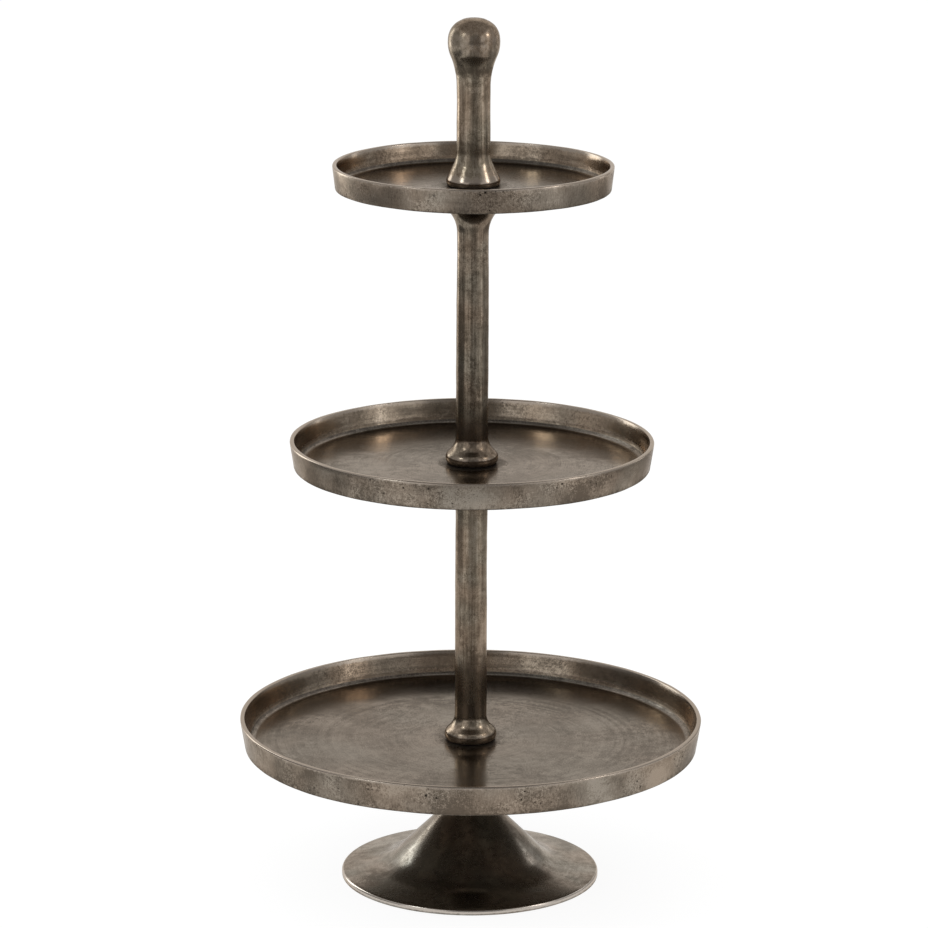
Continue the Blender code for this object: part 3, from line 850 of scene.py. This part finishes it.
def casting_pits_group():
    wanted = {"Vector": None, "Cell Size": 0.006, "Share": 0.3, "Width": 0.3, "Raggedness": 0.3}
    tree, given, result = new_group("casting_pits", wanted, ("Pit",))
    place, scale = given["Vector"], per(tree, given["Cell Size"])
    finer = maths(tree, "MULTIPLY", scale, RAGGED_FINER)
    ragged = add_node(tree, "ShaderNodeTexNoise", {"Vector": place, "Scale": finer}).outputs["Color"]
    shift = vector_maths(tree, "SUBTRACT", ragged, (0.5, 0.5, 0.5))
    reach = maths(tree, "MULTIPLY", given["Raggedness"], given["Cell Size"])
    shift = vector_maths(tree, "MULTIPLY", shift, combine_xyz(tree, reach, reach, reach))
    moved = vector_maths(tree, "ADD", place, shift)
    cells = add_node(tree, "ShaderNodeTexVoronoi", {"Vector": moved, "Scale": scale})
    drawn = add_node(tree, "ShaderNodeSeparateColor", {"Color": cells.outputs["Color"]}).outputs
    kept = maths(tree, "LESS_THAN", drawn[0], given["Share"])
    width = maths(tree, "MULTIPLY", given["Width"], add_share(tree, drawn[1], 1 - SMALLEST_PIT, SMALLEST_PIT))
    spot = maths(tree, "SUBTRACT", 1.0, maths(tree, "DIVIDE", cells.outputs["Distance"], width))
    tree.links.new(maths(tree, "MULTIPLY", remap(tree, spot, 0.0, PIT_EDGE), kept), result["Pit"])
    return tree


casting_pits = casting_pits_group()
print(casting_pits.name, "has", len(casting_pits.nodes), "nodes")

# %% [markdown]
# A turned tray floor keeps fine rings from the lathe and the polishing pad. They depend only on the
# distance from the centre line and on the height, so they run round the table without a seam. A slow
# noise bends them and lets them fade in places, as hand work does. On the walls the marks run up and
# down instead, which is plain noise stretched along Z.

# %% Node groups: turning marks and drawn streaks
MARK_NOISE = {"detail": 3.0, "roughness": 0.6}
MARK_DRIFT = 3.0
BEND_SIZE = 0.04
FADE_SCALE = 22.0
FADE_BETWEEN = (0.35, 0.65)
FADE_TO = (0.25, 1.0)


def turning_marks_group():
    wanted = {"Vector": None, "Pitch": 0.003, "Wobble": 0.5}
    tree, given, result = new_group("turning_marks", wanted, ("Mark",))
    place, pitch = given["Vector"], given["Pitch"]
    parts = add_node(tree, "ShaderNodeSeparateXYZ", {0: place}).outputs
    flat = combine_xyz(tree, parts[0], parts[1])
    radius = add_node(tree, "ShaderNodeVectorMath", {0: flat}, operation="LENGTH").outputs["Value"]
    slow = noise(tree, place, per(tree, pitch, BEND_SIZE), 1.0)
    bent = add_share(tree, slow, given["Wobble"], maths(tree, "DIVIDE", radius, pitch))
    drift = maths(tree, "MULTIPLY", slow, MARK_DRIFT)
    across = combine_xyz(tree, bent, maths(tree, "DIVIDE", parts[2], pitch), drift)
    mark = swing(tree, noise(tree, across, 1.0, **MARK_NOISE))
    strength = remap(tree, noise(tree, place, FADE_SCALE), *FADE_BETWEEN, *FADE_TO)
    tree.links.new(add_share(tree, mark, strength, 0.5), result["Mark"])
    return tree


def drawn_streaks_group():
    wanted = {"Vector": None, "Width": 0.0012, "Length": 0.02}
    tree, given, result = new_group("drawn_streaks", wanted, ("Streak",))
    narrow = per(tree, given["Width"])
    stretch = combine_xyz(tree, narrow, narrow, per(tree, given["Length"]))
    vector = vector_maths(tree, "MULTIPLY", given["Vector"], stretch)
    tree.links.new(noise(tree, vector, 1.0, **MARK_NOISE), result["Streak"])
    return tree


turning_marks = turning_marks_group()
drawn_streaks = drawn_streaks_group()
print(turning_marks.name, "and", drawn_streaks.name, "made")

# %% [markdown]
# Wear doesn't follow an edge evenly: it breaks up where the metal is rough. So the worn number of the
# points is roughened by a noise before it becomes a mask. The painted_shade number, which is high
# where shade is painted into a corner, goes through the same group.

# %% Node group: a broken mask
def broken_mask_group():
    wanted = {"Vector": None, "Amount": 0.0, "Break Size": 0.004, "Break": 0.8, "Start": 0.35, "Stop": 0.75}
    tree, given, result = new_group("broken_mask", wanted, ("Mask",))
    rough = noise(tree, given["Vector"], per(tree, given["Break Size"]), **MARK_NOISE)
    value = add_share(tree, swing(tree, rough), given["Break"], given["Amount"])
    tree.links.new(remap(tree, value, given["Start"], given["Stop"]), result["Mask"])
    return tree


broken_mask = broken_mask_group()
print(broken_mask.name, "made")

# %% [markdown]
# One recipe makes every finish of the castings. It asks the groups for tone, marks, streaks, pits,
# wear and painted shade, and adds them up to one shade. The dictionary holds what a plain casting has,
# and each finish only names what it has otherwise.

# %% The recipe: patterns and shade
PLAIN = {
    "dark": (0.135, 0.108, 0.083), "mid": (0.235, 0.190, 0.148), "light": (0.340, 0.280, 0.222),
    "browner": (1.05, 0.99, 0.93), "greener": (0.96, 1.0, 0.98), "worn": (0.34, 0.288, 0.240),
    "rough": (0.36, 0.26), "worn_rough": 0.19,
    "tone": {"Cloud Size": 0.045, "Mottle Size": 0.007, "Grain Size": 0.0014,
             "Cloud Share": 1.1, "Mottle Share": 0.7, "Grain Share": 0.4},
    "patch_share": 0.8,
    "marks": {"Pitch": 0.003, "Wobble": 0.8}, "mark_share": 0.3,
    "streaks": {"Width": 0.0012, "Length": 0.02}, "streak_share": 0.0,
    "pits": {"Cell Size": 0.0050, "Share": 0.12, "Width": 0.22, "Raggedness": 0.5},
    "heights": {"grain": 0.006, "mottle": 0.02, "mark": 0.005, "streak": 0.0, "pit": 0.15},
}
# How much the painted shade lowers the shade number, and so darkens the colour.
PAINTED_SHADE_DARKENS = -0.18


def casting_patterns(tree, place, recipe):
    """What each group gives at each place on the casting."""
    tone = use(tree, casting_tone, {"Vector": place, **recipe["tone"]})
    found = {label.lower(): tone[label] for label in ("Tone", "Mottle", "Grain", "Tint", "Patch")}
    found["mark"] = use(tree, turning_marks, {"Vector": place, **recipe["marks"]})["Mark"]
    found["streak"] = use(tree, drawn_streaks, {"Vector": place, **recipe["streaks"]})["Streak"]
    pit = use(tree, casting_pits, {"Vector": place, **recipe["pits"]})["Pit"]
    found["pit"] = maths(tree, "MULTIPLY", pit, found["patch"])
    # The painted shade number is read from the points here, as the worn number is.
    for number in ("worn", "painted_shade"):
        amount = add_node(tree, "ShaderNodeAttribute", attribute_name=number).outputs["Fac"]
        found[number] = use(tree, broken_mask, {"Vector": place, "Amount": amount})["Mask"]
    return found


def casting_shade(tree, found, recipe):
    """One number that is high on light smooth metal and low where shade is painted in."""
    shade = add_share(tree, swing(tree, found["mark"]), recipe["mark_share"], found["tone"])
    shade = add_share(tree, swing(tree, found["streak"]), recipe["streak_share"], shade)
    skin = maths(tree, "SUBTRACT", maths(tree, "ADD", found["mottle"], found["grain"]), 1.0)
    skin = maths(tree, "MULTIPLY", skin, found["patch"])
    shade = add_share(tree, skin, recipe["patch_share"], shade)
    return add_share(tree, found["painted_shade"], PAINTED_SHADE_DARKENS, shade)


print("recipe has", len(PLAIN), "entries")

# %% [markdown]
# The shade then chooses the colour and the gloss: light metal is smooth and dark patina is dull. Wear,
# pits and painted shade go on top of that. The heights go to a Bump node in millimetres, and are calmer
# where the metal is worn.

# %% The recipe: colour, gloss and relief
BUMP_UNIT = 0.001
EDGE_TINT = (0.81, 0.75, 0.69, 1.0)
PIT_BLACK = (0.006, 0.005, 0.004, 1.0)
PIT_BLACKENS = 0.92
DARK_TO_MID = (0.24, 0.50)
MID_TO_LIGHT = (0.48, 0.76)
GLOSS_BETWEEN = (0.25, 0.75)
PIT_DULLS = 0.4
PAINTED_SHADE_DULLS = 0.22
WEAR_CALMS = 0.5


def opaque(colour):
    return (*colour, 1.0)


def casting_colour(tree, found, recipe, shade):
    colour = blend(tree, remap(tree, shade, *DARK_TO_MID), opaque(recipe["dark"]), opaque(recipe["mid"]))
    colour = blend(tree, remap(tree, shade, *MID_TO_LIGHT), colour, opaque(recipe["light"]))
    tint = blend(tree, found["tint"], opaque(recipe["greener"]), opaque(recipe["browner"]))
    colour = blend(tree, 1.0, colour, tint, blend_type="MULTIPLY")
    colour = blend(tree, found["worn"], colour, opaque(recipe["worn"]))
    return blend(tree, maths(tree, "MULTIPLY", found["pit"], PIT_BLACKENS), colour, PIT_BLACK)


def casting_gloss(tree, found, recipe, shade):
    gloss = remap(tree, shade, *GLOSS_BETWEEN, *recipe["rough"])
    sockets = {0: found["worn"], 2: gloss, 3: recipe["worn_rough"]}
    gloss = add_node(tree, "ShaderNodeMix", sockets).outputs[0]
    return add_share(tree, found["painted_shade"], PAINTED_SHADE_DULLS, add_share(tree, found["pit"], PIT_DULLS, gloss))


def casting_height(tree, found, recipe):
    height = 0.0
    for relief in ("grain", "mottle", "mark", "streak"):
        height = add_share(tree, found[relief], recipe["heights"][relief], height)
    calm = maths(tree, "SUBTRACT", 1.0, maths(tree, "MULTIPLY", found["worn"], WEAR_CALMS))
    height = maths(tree, "MULTIPLY", height, calm)
    return add_share(tree, found["pit"], -recipe["heights"]["pit"], height)


def new_material(name, metallic):
    """A material, its node tree, its shader, and the place on the piece that patterns read."""
    material = bpy.data.materials.new(name)
    material.use_nodes = True
    tree = material.node_tree
    shader = tree.nodes["Principled BSDF"]
    shader.inputs["Metallic"].default_value = metallic
    return material, tree, shader, add_node(tree, "ShaderNodeTexCoord").outputs["Object"]


def finish_surface(tree, shader, colour, roughness, height, distance):
    tree.links.new(colour, shader.inputs["Base Color"])
    tree.links.new(roughness, shader.inputs["Roughness"])
    bump = add_node(tree, "ShaderNodeBump", {"Height": height, "Distance": distance}).outputs["Normal"]
    tree.links.new(bump, shader.inputs["Normal"])


def casting_finish(name, **changes):
    recipe = {**PLAIN, **changes}
    material, tree, shader, place = new_material(name, 1.0)
    found = casting_patterns(tree, place, recipe)
    shade = casting_shade(tree, found, recipe)
    colour = casting_colour(tree, found, recipe, shade)
    gloss = casting_gloss(tree, found, recipe, shade)
    finish_surface(tree, shader, colour, gloss, casting_height(tree, found, recipe), BUMP_UNIT)
    shader.inputs["Specular Tint"].default_value = EDGE_TINT
    return material


print("relief is measured in steps of", BUMP_UNIT * 1000, "mm")

# %% [markdown]
# The finishes differ by what was done to each surface. Floors were turned and polished with a pad,
# outer walls were drawn upwards with a file and kept their pits, lips were buffed bright, and
# undersides were left as they came from the mould. The shafts share one set of changes, and the upper
# column's copy of that finish has darker metal all over: painted shade from the tray above it.

# %% Finishes of the castings
tray_floor = casting_finish(
    "tray_floor", dark=(0.086, 0.075, 0.065), mid=(0.150, 0.131, 0.113), light=(0.220, 0.194, 0.169),
    browner=(1.03, 0.995, 0.96), greener=(0.98, 1.0, 0.985),
    tone={"Cloud Size": 0.075, "Mottle Size": 0.010, "Grain Size": 0.0016,
          "Cloud Share": 0.9, "Mottle Share": 0.5, "Grain Share": 1.1}, patch_share=0.6,
    marks={"Pitch": 0.0042, "Wobble": 1.2}, mark_share=0.70, rough=(0.26, 0.15),
    pits={"Cell Size": 0.007, "Share": 0.05, "Width": 0.10, "Raggedness": 0.5},
    heights={"grain": 0.005, "mottle": 0.008, "mark": 0.005, "streak": 0.0, "pit": 0.08})
inner_wall = casting_finish(
    "tray_inner_wall", rough=(0.25, 0.14), greener=(0.985, 0.995, 0.985),
    tone={"Cloud Size": 0.050, "Mottle Size": 0.005, "Grain Size": 0.0013,
          "Cloud Share": 0.9, "Mottle Share": 0.5, "Grain Share": 0.8}, patch_share=0.7,
    marks={"Pitch": 0.0030, "Wobble": 0.4}, mark_share=0.8,
    heights={"grain": 0.012, "mottle": 0.03, "mark": 0.010, "streak": 0.0, "pit": 0.12})
outer_wall = casting_finish(
    "tray_outer_wall", dark=(0.112, 0.093, 0.075), mid=(0.208, 0.174, 0.141), light=(0.308, 0.265, 0.222),
    greener=(0.98, 0.995, 0.985), streaks={"Width": 0.0010, "Length": 0.012}, streak_share=0.55,
    rough=(0.38, 0.27),
    tone={"Cloud Size": 0.055, "Mottle Size": 0.0030, "Grain Size": 0.0011,
          "Cloud Share": 1.45, "Mottle Share": 0.3, "Grain Share": 0.5}, patch_share=1.1,
    pits={"Cell Size": 0.0052, "Share": 0.45, "Width": 0.38, "Raggedness": 0.55},
    heights={"grain": 0.010, "mottle": 0.014, "mark": 0.0, "streak": 0.012, "pit": 0.25})
lip_band = casting_finish("tray_lip_band", rough=(0.28, 0.20), mark_share=0.4, patch_share=0.3)
underside = casting_finish(
    "tray_underside", dark=(0.108, 0.090, 0.074), mid=(0.200, 0.169, 0.140), light=(0.290, 0.248, 0.209),
    tone={"Cloud Size": 0.070, "Mottle Size": 0.006, "Grain Size": 0.0014,
          "Cloud Share": 0.9, "Mottle Share": 0.5, "Grain Share": 0.5}, patch_share=0.4,
    rough=(0.52, 0.42), heights={"grain": 0.04, "mottle": 0.10, "mark": 0.0, "streak": 0.0, "pit": 0.2})
TURNED = {
    "worn": (0.285, 0.237, 0.193),
    "tone": {"Cloud Size": 0.032, "Mottle Size": 0.006, "Grain Size": 0.0012,
             "Cloud Share": 0.9, "Mottle Share": 0.6, "Grain Share": 0.5},
    "patch_share": 0.5, "mark_share": 0.15,
    "streaks": {"Width": 0.0022, "Length": 0.060}, "streak_share": 0.95,
    "heights": {"grain": 0.007, "mottle": 0.026, "mark": 0.004, "streak": 0.0, "pit": 0.12},
}
shaft = casting_finish(
    "turned_shaft", dark=(0.125, 0.098, 0.074), mid=(0.205, 0.164, 0.126), light=(0.295, 0.243, 0.195),
    rough=(0.32, 0.20), **TURNED)
# The upper column's finish is the shaft's with darker colours: painted shade under the top tray.
shaft_painted_shade = casting_finish(
    "turned_shaft_painted_shade", dark=(0.085, 0.067, 0.051), mid=(0.150, 0.120, 0.093), light=(0.230, 0.190, 0.152),
    rough=(0.30, 0.19), **TURNED)
pedestal = casting_finish(
    "trumpet_foot", dark=(0.142, 0.124, 0.107), mid=(0.218, 0.194, 0.170), light=(0.315, 0.285, 0.255),
    worn=(0.50, 0.45, 0.40),
    tone={"Cloud Size": 0.040, "Mottle Size": 0.008, "Grain Size": 0.0014,
          "Cloud Share": 1.2, "Mottle Share": 0.8, "Grain Share": 0.6}, rough=(0.29, 0.19),
    patch_share=0.4, mark_share=0.45,
    heights={"grain": 0.006, "mottle": 0.020, "mark": 0.005, "streak": 0.0, "pit": 0.08})
print("finishes:", len(bpy.data.materials))

# %% [markdown]
# Steel bolts and bushes are zinc plated: a crystal pattern with a faint tint. Fibre washers are a
# black pressed board with short fibres, and felt is dark wool with a soft nap and stray pale hairs.
# None of these is cast, so each has a small material of its own.

# %% Zinc, fibre and felt
ZINC_CRYSTALS = 900.0
ZINC_STAINS = 160.0
ZINC_SPECKS = 2500.0
ZINC_RELIEF = 0.000006
CRYSTAL_SHARE = 0.4
FIBRE_RELIEF = 0.00004
FELT_NAP = 900.0
FELT_RELIEF = 0.0003
HAIR_SHARE = 0.3


def zinc_plate():
    material, tree, shader, place = new_material("zinc_plated_steel", 1.0)
    crystals = add_node(tree, "ShaderNodeTexVoronoi", {"Vector": place, "Scale": ZINC_CRYSTALS})
    drawn = add_node(tree, "ShaderNodeSeparateColor", {"Color": crystals.outputs["Color"]}).outputs[0]
    stain = maths(tree, "MULTIPLY", noise(tree, place, ZINC_STAINS, 4.0, 0.6), 1 - CRYSTAL_SHARE)
    share = add_share(tree, drawn, CRYSTAL_SHARE, stain)
    colour = blend(tree, remap(tree, share, 0.25, 0.75), (0.38, 0.37, 0.34, 1), (0.66, 0.66, 0.64, 1))
    height = maths(tree, "ADD", drawn, noise(tree, place, ZINC_SPECKS))
    finish_surface(tree, shader, colour, remap(tree, share, 0.2, 0.8, 0.48, 0.28), height, ZINC_RELIEF)
    return material


def pressed_fibre():
    material, tree, shader, place = new_material("pressed_fibre", 0.0)
    fibres = use(tree, drawn_streaks, {"Vector": place, "Width": 0.0025, "Length": 0.0002})["Streak"]
    colour = blend(tree, remap(tree, fibres, 0.35, 0.65), (0.012, 0.011, 0.010, 1), (0.040, 0.036, 0.032, 1))
    finish_surface(tree, shader, colour, remap(tree, fibres, 0.3, 0.7, 0.75, 0.55), fibres, FIBRE_RELIEF)
    return material


def wool_felt():
    material, tree, shader, place = new_material("wool_felt", 0.0)
    matted = noise(tree, place, FELT_NAP, 5.0, 0.75)
    hairs = use(tree, casting_pits, {"Vector": place, "Cell Size": 0.0012, "Share": 0.2, "Width": 0.3})["Pit"]
    colour = blend(tree, remap(tree, matted, 0.3, 0.7), (0.018, 0.018, 0.018, 1), (0.065, 0.063, 0.060, 1))
    colour = blend(tree, maths(tree, "MULTIPLY", hairs, HAIR_SHARE), colour, (0.20, 0.19, 0.18, 1))
    finish_surface(tree, shader, colour, remap(tree, matted, 0.3, 0.7, 1.0, 0.85), matted, FELT_RELIEF)
    shader.inputs["Sheen Weight"].default_value = 0.4
    shader.inputs["Sheen Roughness"].default_value = 0.6
    return material


zinc = zinc_plate()
fibre = pressed_fibre()
felt = wool_felt()
print("materials:", len(bpy.data.materials))

# %% [markdown]
# A casting has several finishes, so each face gets the finish of its place: its distance from the
# centre line, its height, and where it faces. On a tray the lip, the band below it, the walls, the
# floor and the underside meet along edges that are already there.

# %% Finishes by place
BAND = 0.0036
LIP_BAND = 0.002
FLOOR_BAND = 0.010
LOOKS_DOWN = -0.4
LOOKS_UP = 0.5
LOOKS_OUT = 0.3
FOOT_LOOKS_DOWN = -0.05


def finish_faces(piece, rest, rules=()):
    """Gives each face the first finish whose test passes, and the rest where none does. A test takes
    the face's radius and height, and how far it looks outwards and upwards."""
    for material, _ in rules:
        piece.data.materials.append(material)
    piece.data.materials.append(rest)
    for face in piece.data.polygons:
        place = face.center
        radius = hypot(place.x, place.y)
        outward = (face.normal.x * place.x + face.normal.y * place.y) / max(radius, NEAR)
        passed = [test(radius, place.z, outward, face.normal.z) for _, test in rules]
        face.material_index = passed.index(True) if True in passed else len(rules)


for node, piece in trays.items():
    low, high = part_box(node)
    base, top = low.z, high.z
    finish_faces(piece, lip_band, (
        (underside, lambda r, z, out, up: up < LOOKS_DOWN),
        (tray_floor, lambda r, z, out, up: up > LOOKS_UP and z < base + FLOOR_BAND),
        (outer_wall, lambda r, z, out, up: out > LOOKS_OUT and z < top - BAND),
        (inner_wall, lambda r, z, out, up: out < LOOKS_OUT and z < top - LIP_BAND)))
finish_faces(columns["lower_column"], shaft)
finish_faces(columns["upper_column"], shaft_painted_shade)
finish_faces(handle, shaft)
finish_faces(foot, pedestal, ((underside, lambda r, z, out, up: up < FOOT_LOOKS_DOWN),))
for piece in hardware.values():
    finish_faces(piece, zinc)
for piece in pads.values():
    finish_faces(piece, felt)
print("faces finished on", new_pieces, "pieces")

# %% [markdown]
# The bushes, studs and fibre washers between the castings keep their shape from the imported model.
# They get their finish in that model's own material slots, and the end of a name tells which one.

# %% Finishes of the nodes that stay
KEPT = ((("_bush", "_stud"), zinc), (("_under_washer", "_seat_washer"), fibre))
for endings, material in KEPT:
    kept = [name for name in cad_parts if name.endswith(endings)]
    for name in kept:
        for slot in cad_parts[name].material_slots:
            slot.material = material
    print(material.name, "on", len(kept), "kept nodes")

# %% [markdown]
# The photograph shows the table on pure white. The floor is a wide pale plane. Part of its white is
# plain diffuse, so that the table's shadow falls on it, and the rest is added for what looks at it
# directly or in a reflection. Seen from below it is clear, so that the underside can be inspected.

# %% Floor
FLOOR_WIDTH = 40.0
FLOOR_GREY = 0.18
FLOOR_GLOW = 0.90


def grey(value):
    return (value, value, value, 1)


def stage_plane(name, size, location, rotation, material):
    """A plane that belongs to the studio and not to the table."""
    piece = end(begin(name, bpy.ops.mesh.primitive_plane_add, size=1))
    piece.data.transform(Matrix.Diagonal((*size, 1, 1)))
    piece.location = location
    piece.rotation_euler = rotation
    piece.data.materials.append(material)
    return piece


def empty_material(name):
    material = bpy.data.materials.new(name)
    material.use_nodes = True
    material.node_tree.nodes.clear()
    return material, material.node_tree


def floor_material():
    material, tree = empty_material("studio_floor")
    plain = add_node(tree, "ShaderNodeBsdfDiffuse", {"Color": grey(FLOOR_GREY)}).outputs[0]
    path = add_node(tree, "ShaderNodeLightPath").outputs
    seen = maths(tree, "MAXIMUM", path["Is Camera Ray"], path["Is Glossy Ray"])
    strength = maths(tree, "MULTIPLY", seen, FLOOR_GLOW)
    glow = add_node(tree, "ShaderNodeEmission", {"Color": grey(1), "Strength": strength}).outputs[0]
    lit = add_node(tree, "ShaderNodeAddShader", {0: plain, 1: glow}).outputs[0]
    clear = add_node(tree, "ShaderNodeBsdfTransparent").outputs[0]
    below = add_node(tree, "ShaderNodeNewGeometry").outputs["Backfacing"]
    through = maths(tree, "MULTIPLY", below, path["Is Camera Ray"])
    mixed = add_node(tree, "ShaderNodeMixShader", {0: through, 1: lit, 2: clear}).outputs[0]
    add_node(tree, "ShaderNodeOutputMaterial", {"Surface": mixed})
    return material


floor = stage_plane("studio_floor", (FLOOR_WIDTH, FLOOR_WIDTH), (0, 0, 0), (0, 0, 0), floor_material())
print(floor.name, "is", FLOOR_WIDTH, "m wide")

# %% [markdown]
# Polished metal shows what stands round it. A photographer gives it something dark to show: bands of
# black and grey cards in front, grey ones beside it and overhead, and a grey cloth on the floor. Two
# narrow bright flags on the right draw lines down the columns. These cards are seen only in
# reflections.

# %% Cards for the reflections
SHADES = {
    "grey": 0.45, "bounce": 0.62, "dim": 0.34, "side": 0.60,
    "middle": 0.30, "black": 0.13, "low": 0.16, "bright": 1.80}
STANDING = (
    ("front_card", 6, 2.40, 2.14, 0.28, 0.42, "dim"),
    ("grip_card", 6, 2.40, 2.14, 0.42, 0.62, "bounce"),
    ("black_band", 12, 2.42, 4.00, 0.62, 0.96, "black"),
    ("middle_band", 6, 2.44, 2.40, 0.96, 1.72, "middle"),
    ("upper_band", 6, 2.46, 2.40, 1.72, 2.60, "middle"),
    ("right_flag", 66, 2.30, 0.26, 0.01, 2.20, "bright"),
    ("right_edge_flag", 125, 2.10, 0.24, 0.30, 1.90, "bright"),
    ("left_card", -88, 2.20, 2.30, 0.35, 2.60, "side"),
    ("right_card", 114, 2.20, 2.60, 0.35, 2.60, "side"),
    ("low_left_card", -89, 1.10, 1.30, 0.05, 0.45, "low"),
    ("low_right_card", 112, 1.10, 1.60, 0.05, 0.45, "grey"),
)
LEVEL = (
    ("ceiling_card", (3.6, 3.9), (0, -0.45, 2.60)),
    ("floor_cloth", (1.7, 2.25), (0.30, -2.03, 0.004)),
)


def card_material(name, value):
    material, tree = empty_material(name)
    glow = add_node(tree, "ShaderNodeEmission", {"Color": grey(value), "Strength": 1.0}).outputs[0]
    add_node(tree, "ShaderNodeOutputMaterial", {"Surface": glow})
    return material


def standing_card(name, azimuth, distance, width, low, high, shade):
    """A standing card; azimuth runs from the camera's side towards the right of the table."""
    turn_to = radians(azimuth)
    location = (distance * sin(turn_to), -distance * cos(turn_to), (low + high) / 2)
    return stage_plane(name, (width, high - low), location, (pi / 2, 0, turn_to), card_materials[shade])


card_materials = {shade: card_material(shade + "_card", value) for shade, value in SHADES.items()}
cards = [standing_card(*card) for card in STANDING]
cards += [stage_plane(*card, (0, 0, 0), card_materials["grey"]) for card in LEVEL]
for piece in cards:
    piece.visible_camera = False
    piece.visible_diffuse = False
    piece.visible_transmission = False
    piece.visible_volume_scatter = False
    piece.visible_shadow = False
print("cards:", len(cards))

# %% [markdown]
# Two soft lamps stand left and right of the camera, the left one a little cool and the right one
# warm. A wide strip stands behind the table on the left and draws the bright line down each left edge.
# The world gives the rest of the light evenly. Its white is what the camera and the reflections
# see, and for diffuse light it is a little weaker.

# %% Lamps and world
LAMP_RADIANCE = 6.2
STRIP_RADIANCE = 2.6
LAMP_SIZE = (0.45, 0.45)
STRIP_SIZE = (0.75, 1.70)
AIM_HEIGHT = 0.5
DIFFUSE_WHITE = 0.7


def softbox(name, azimuth, elevation, distance, colour, radiance, size):
    """A soft lamp that looks at the middle of the table from this direction."""
    aim = Matrix.Rotation(radians(azimuth), 4, "Z") @ Matrix.Rotation(pi / 2 - radians(elevation), 4, "X")
    width, height = size
    lamp = bpy.data.lights.new(name, "AREA")
    lamp.shape = "RECTANGLE"
    lamp.size = width
    lamp.size_y = height
    lamp.color = colour
    lamp.energy = radiance * pi * width * height
    stand = bpy.data.objects.new(name, lamp)
    bpy.context.collection.objects.link(stand)
    centre = Matrix.Translation((0, 0, AIM_HEIGHT))
    stand.matrix_world = centre @ aim @ Matrix.Translation((0, 0, distance))
    stand.visible_camera = False
    return stand


left_lamp = softbox("left_softbox", -57, 38, 2.6, (0.93, 0.99, 1.0), LAMP_RADIANCE, LAMP_SIZE)
right_lamp = softbox("right_softbox", 71.5, 34, 2.6, (1.0, 0.96, 0.91), LAMP_RADIANCE, LAMP_SIZE)
left_strip = softbox("left_strip", -130, 12, 2.3, (0.96, 1.0, 1.0), STRIP_RADIANCE, STRIP_SIZE)

world = bpy.data.worlds.new("white_studio")
world.use_nodes = True
bpy.context.scene.world = world
tree = world.node_tree
path = add_node(tree, "ShaderNodeLightPath").outputs
seen = maths(tree, "MAXIMUM", path["Is Camera Ray"], path["Is Glossy Ray"])
seen = maths(tree, "MAXIMUM", seen, path["Is Transmission Ray"])
background = tree.nodes["Background"]
background.inputs["Color"].default_value = grey(1)
strength = add_share(tree, seen, 1 - DIFFUSE_WHITE, DIFFUSE_WHITE)
tree.links.new(strength, background.inputs["Strength"])
bpy.context.scene.view_settings.view_transform = "Standard"
for lamp in (left_lamp, right_lamp, left_strip):
    print(lamp.name, "at", [round(v, 2) for v in lamp.matrix_world.translation])

# %% [markdown]
# The camera stands at the eye height and distance that make the three rims' ellipses as round as in
# the photograph: 1.6 m up and 4.5 m away, looking down by 14 degrees. It is turned by a tenth of a
# degree and rolled by a quarter, as the photograph is.

# %% Camera
EYE = (0.0, -4.5005, 1.5984)
LENS = 164.86
SENSOR = 36.0
LOOK_DOWN = radians(14.0694)
FOCAL_PIXELS = 4249.86
PIXELS_ASIDE = 8.1
YAW = atan(PIXELS_ASIDE / FOCAL_PIXELS)
ROLL = radians(0.27)

camera = bpy.data.cameras.new("camera")
camera.lens = LENS
camera.sensor_width = SENSOR
tripod = bpy.data.objects.new("camera", camera)
bpy.context.collection.objects.link(tripod)
aim = Matrix.Rotation(YAW, 4, "Z") @ Matrix.Rotation(pi / 2 - LOOK_DOWN, 4, "X")
aim = aim @ Matrix.Rotation(ROLL, 4, "Z")
tripod.matrix_world = Matrix.Translation(EYE) @ aim
bpy.context.scene.camera = tripod
print("camera looks down by", round(LOOK_DOWN * 180 / pi, 2), "degrees")

# %% [markdown]
# Last the view layer is updated.

# %% Update the view layer
bpy.context.view_layer.update()
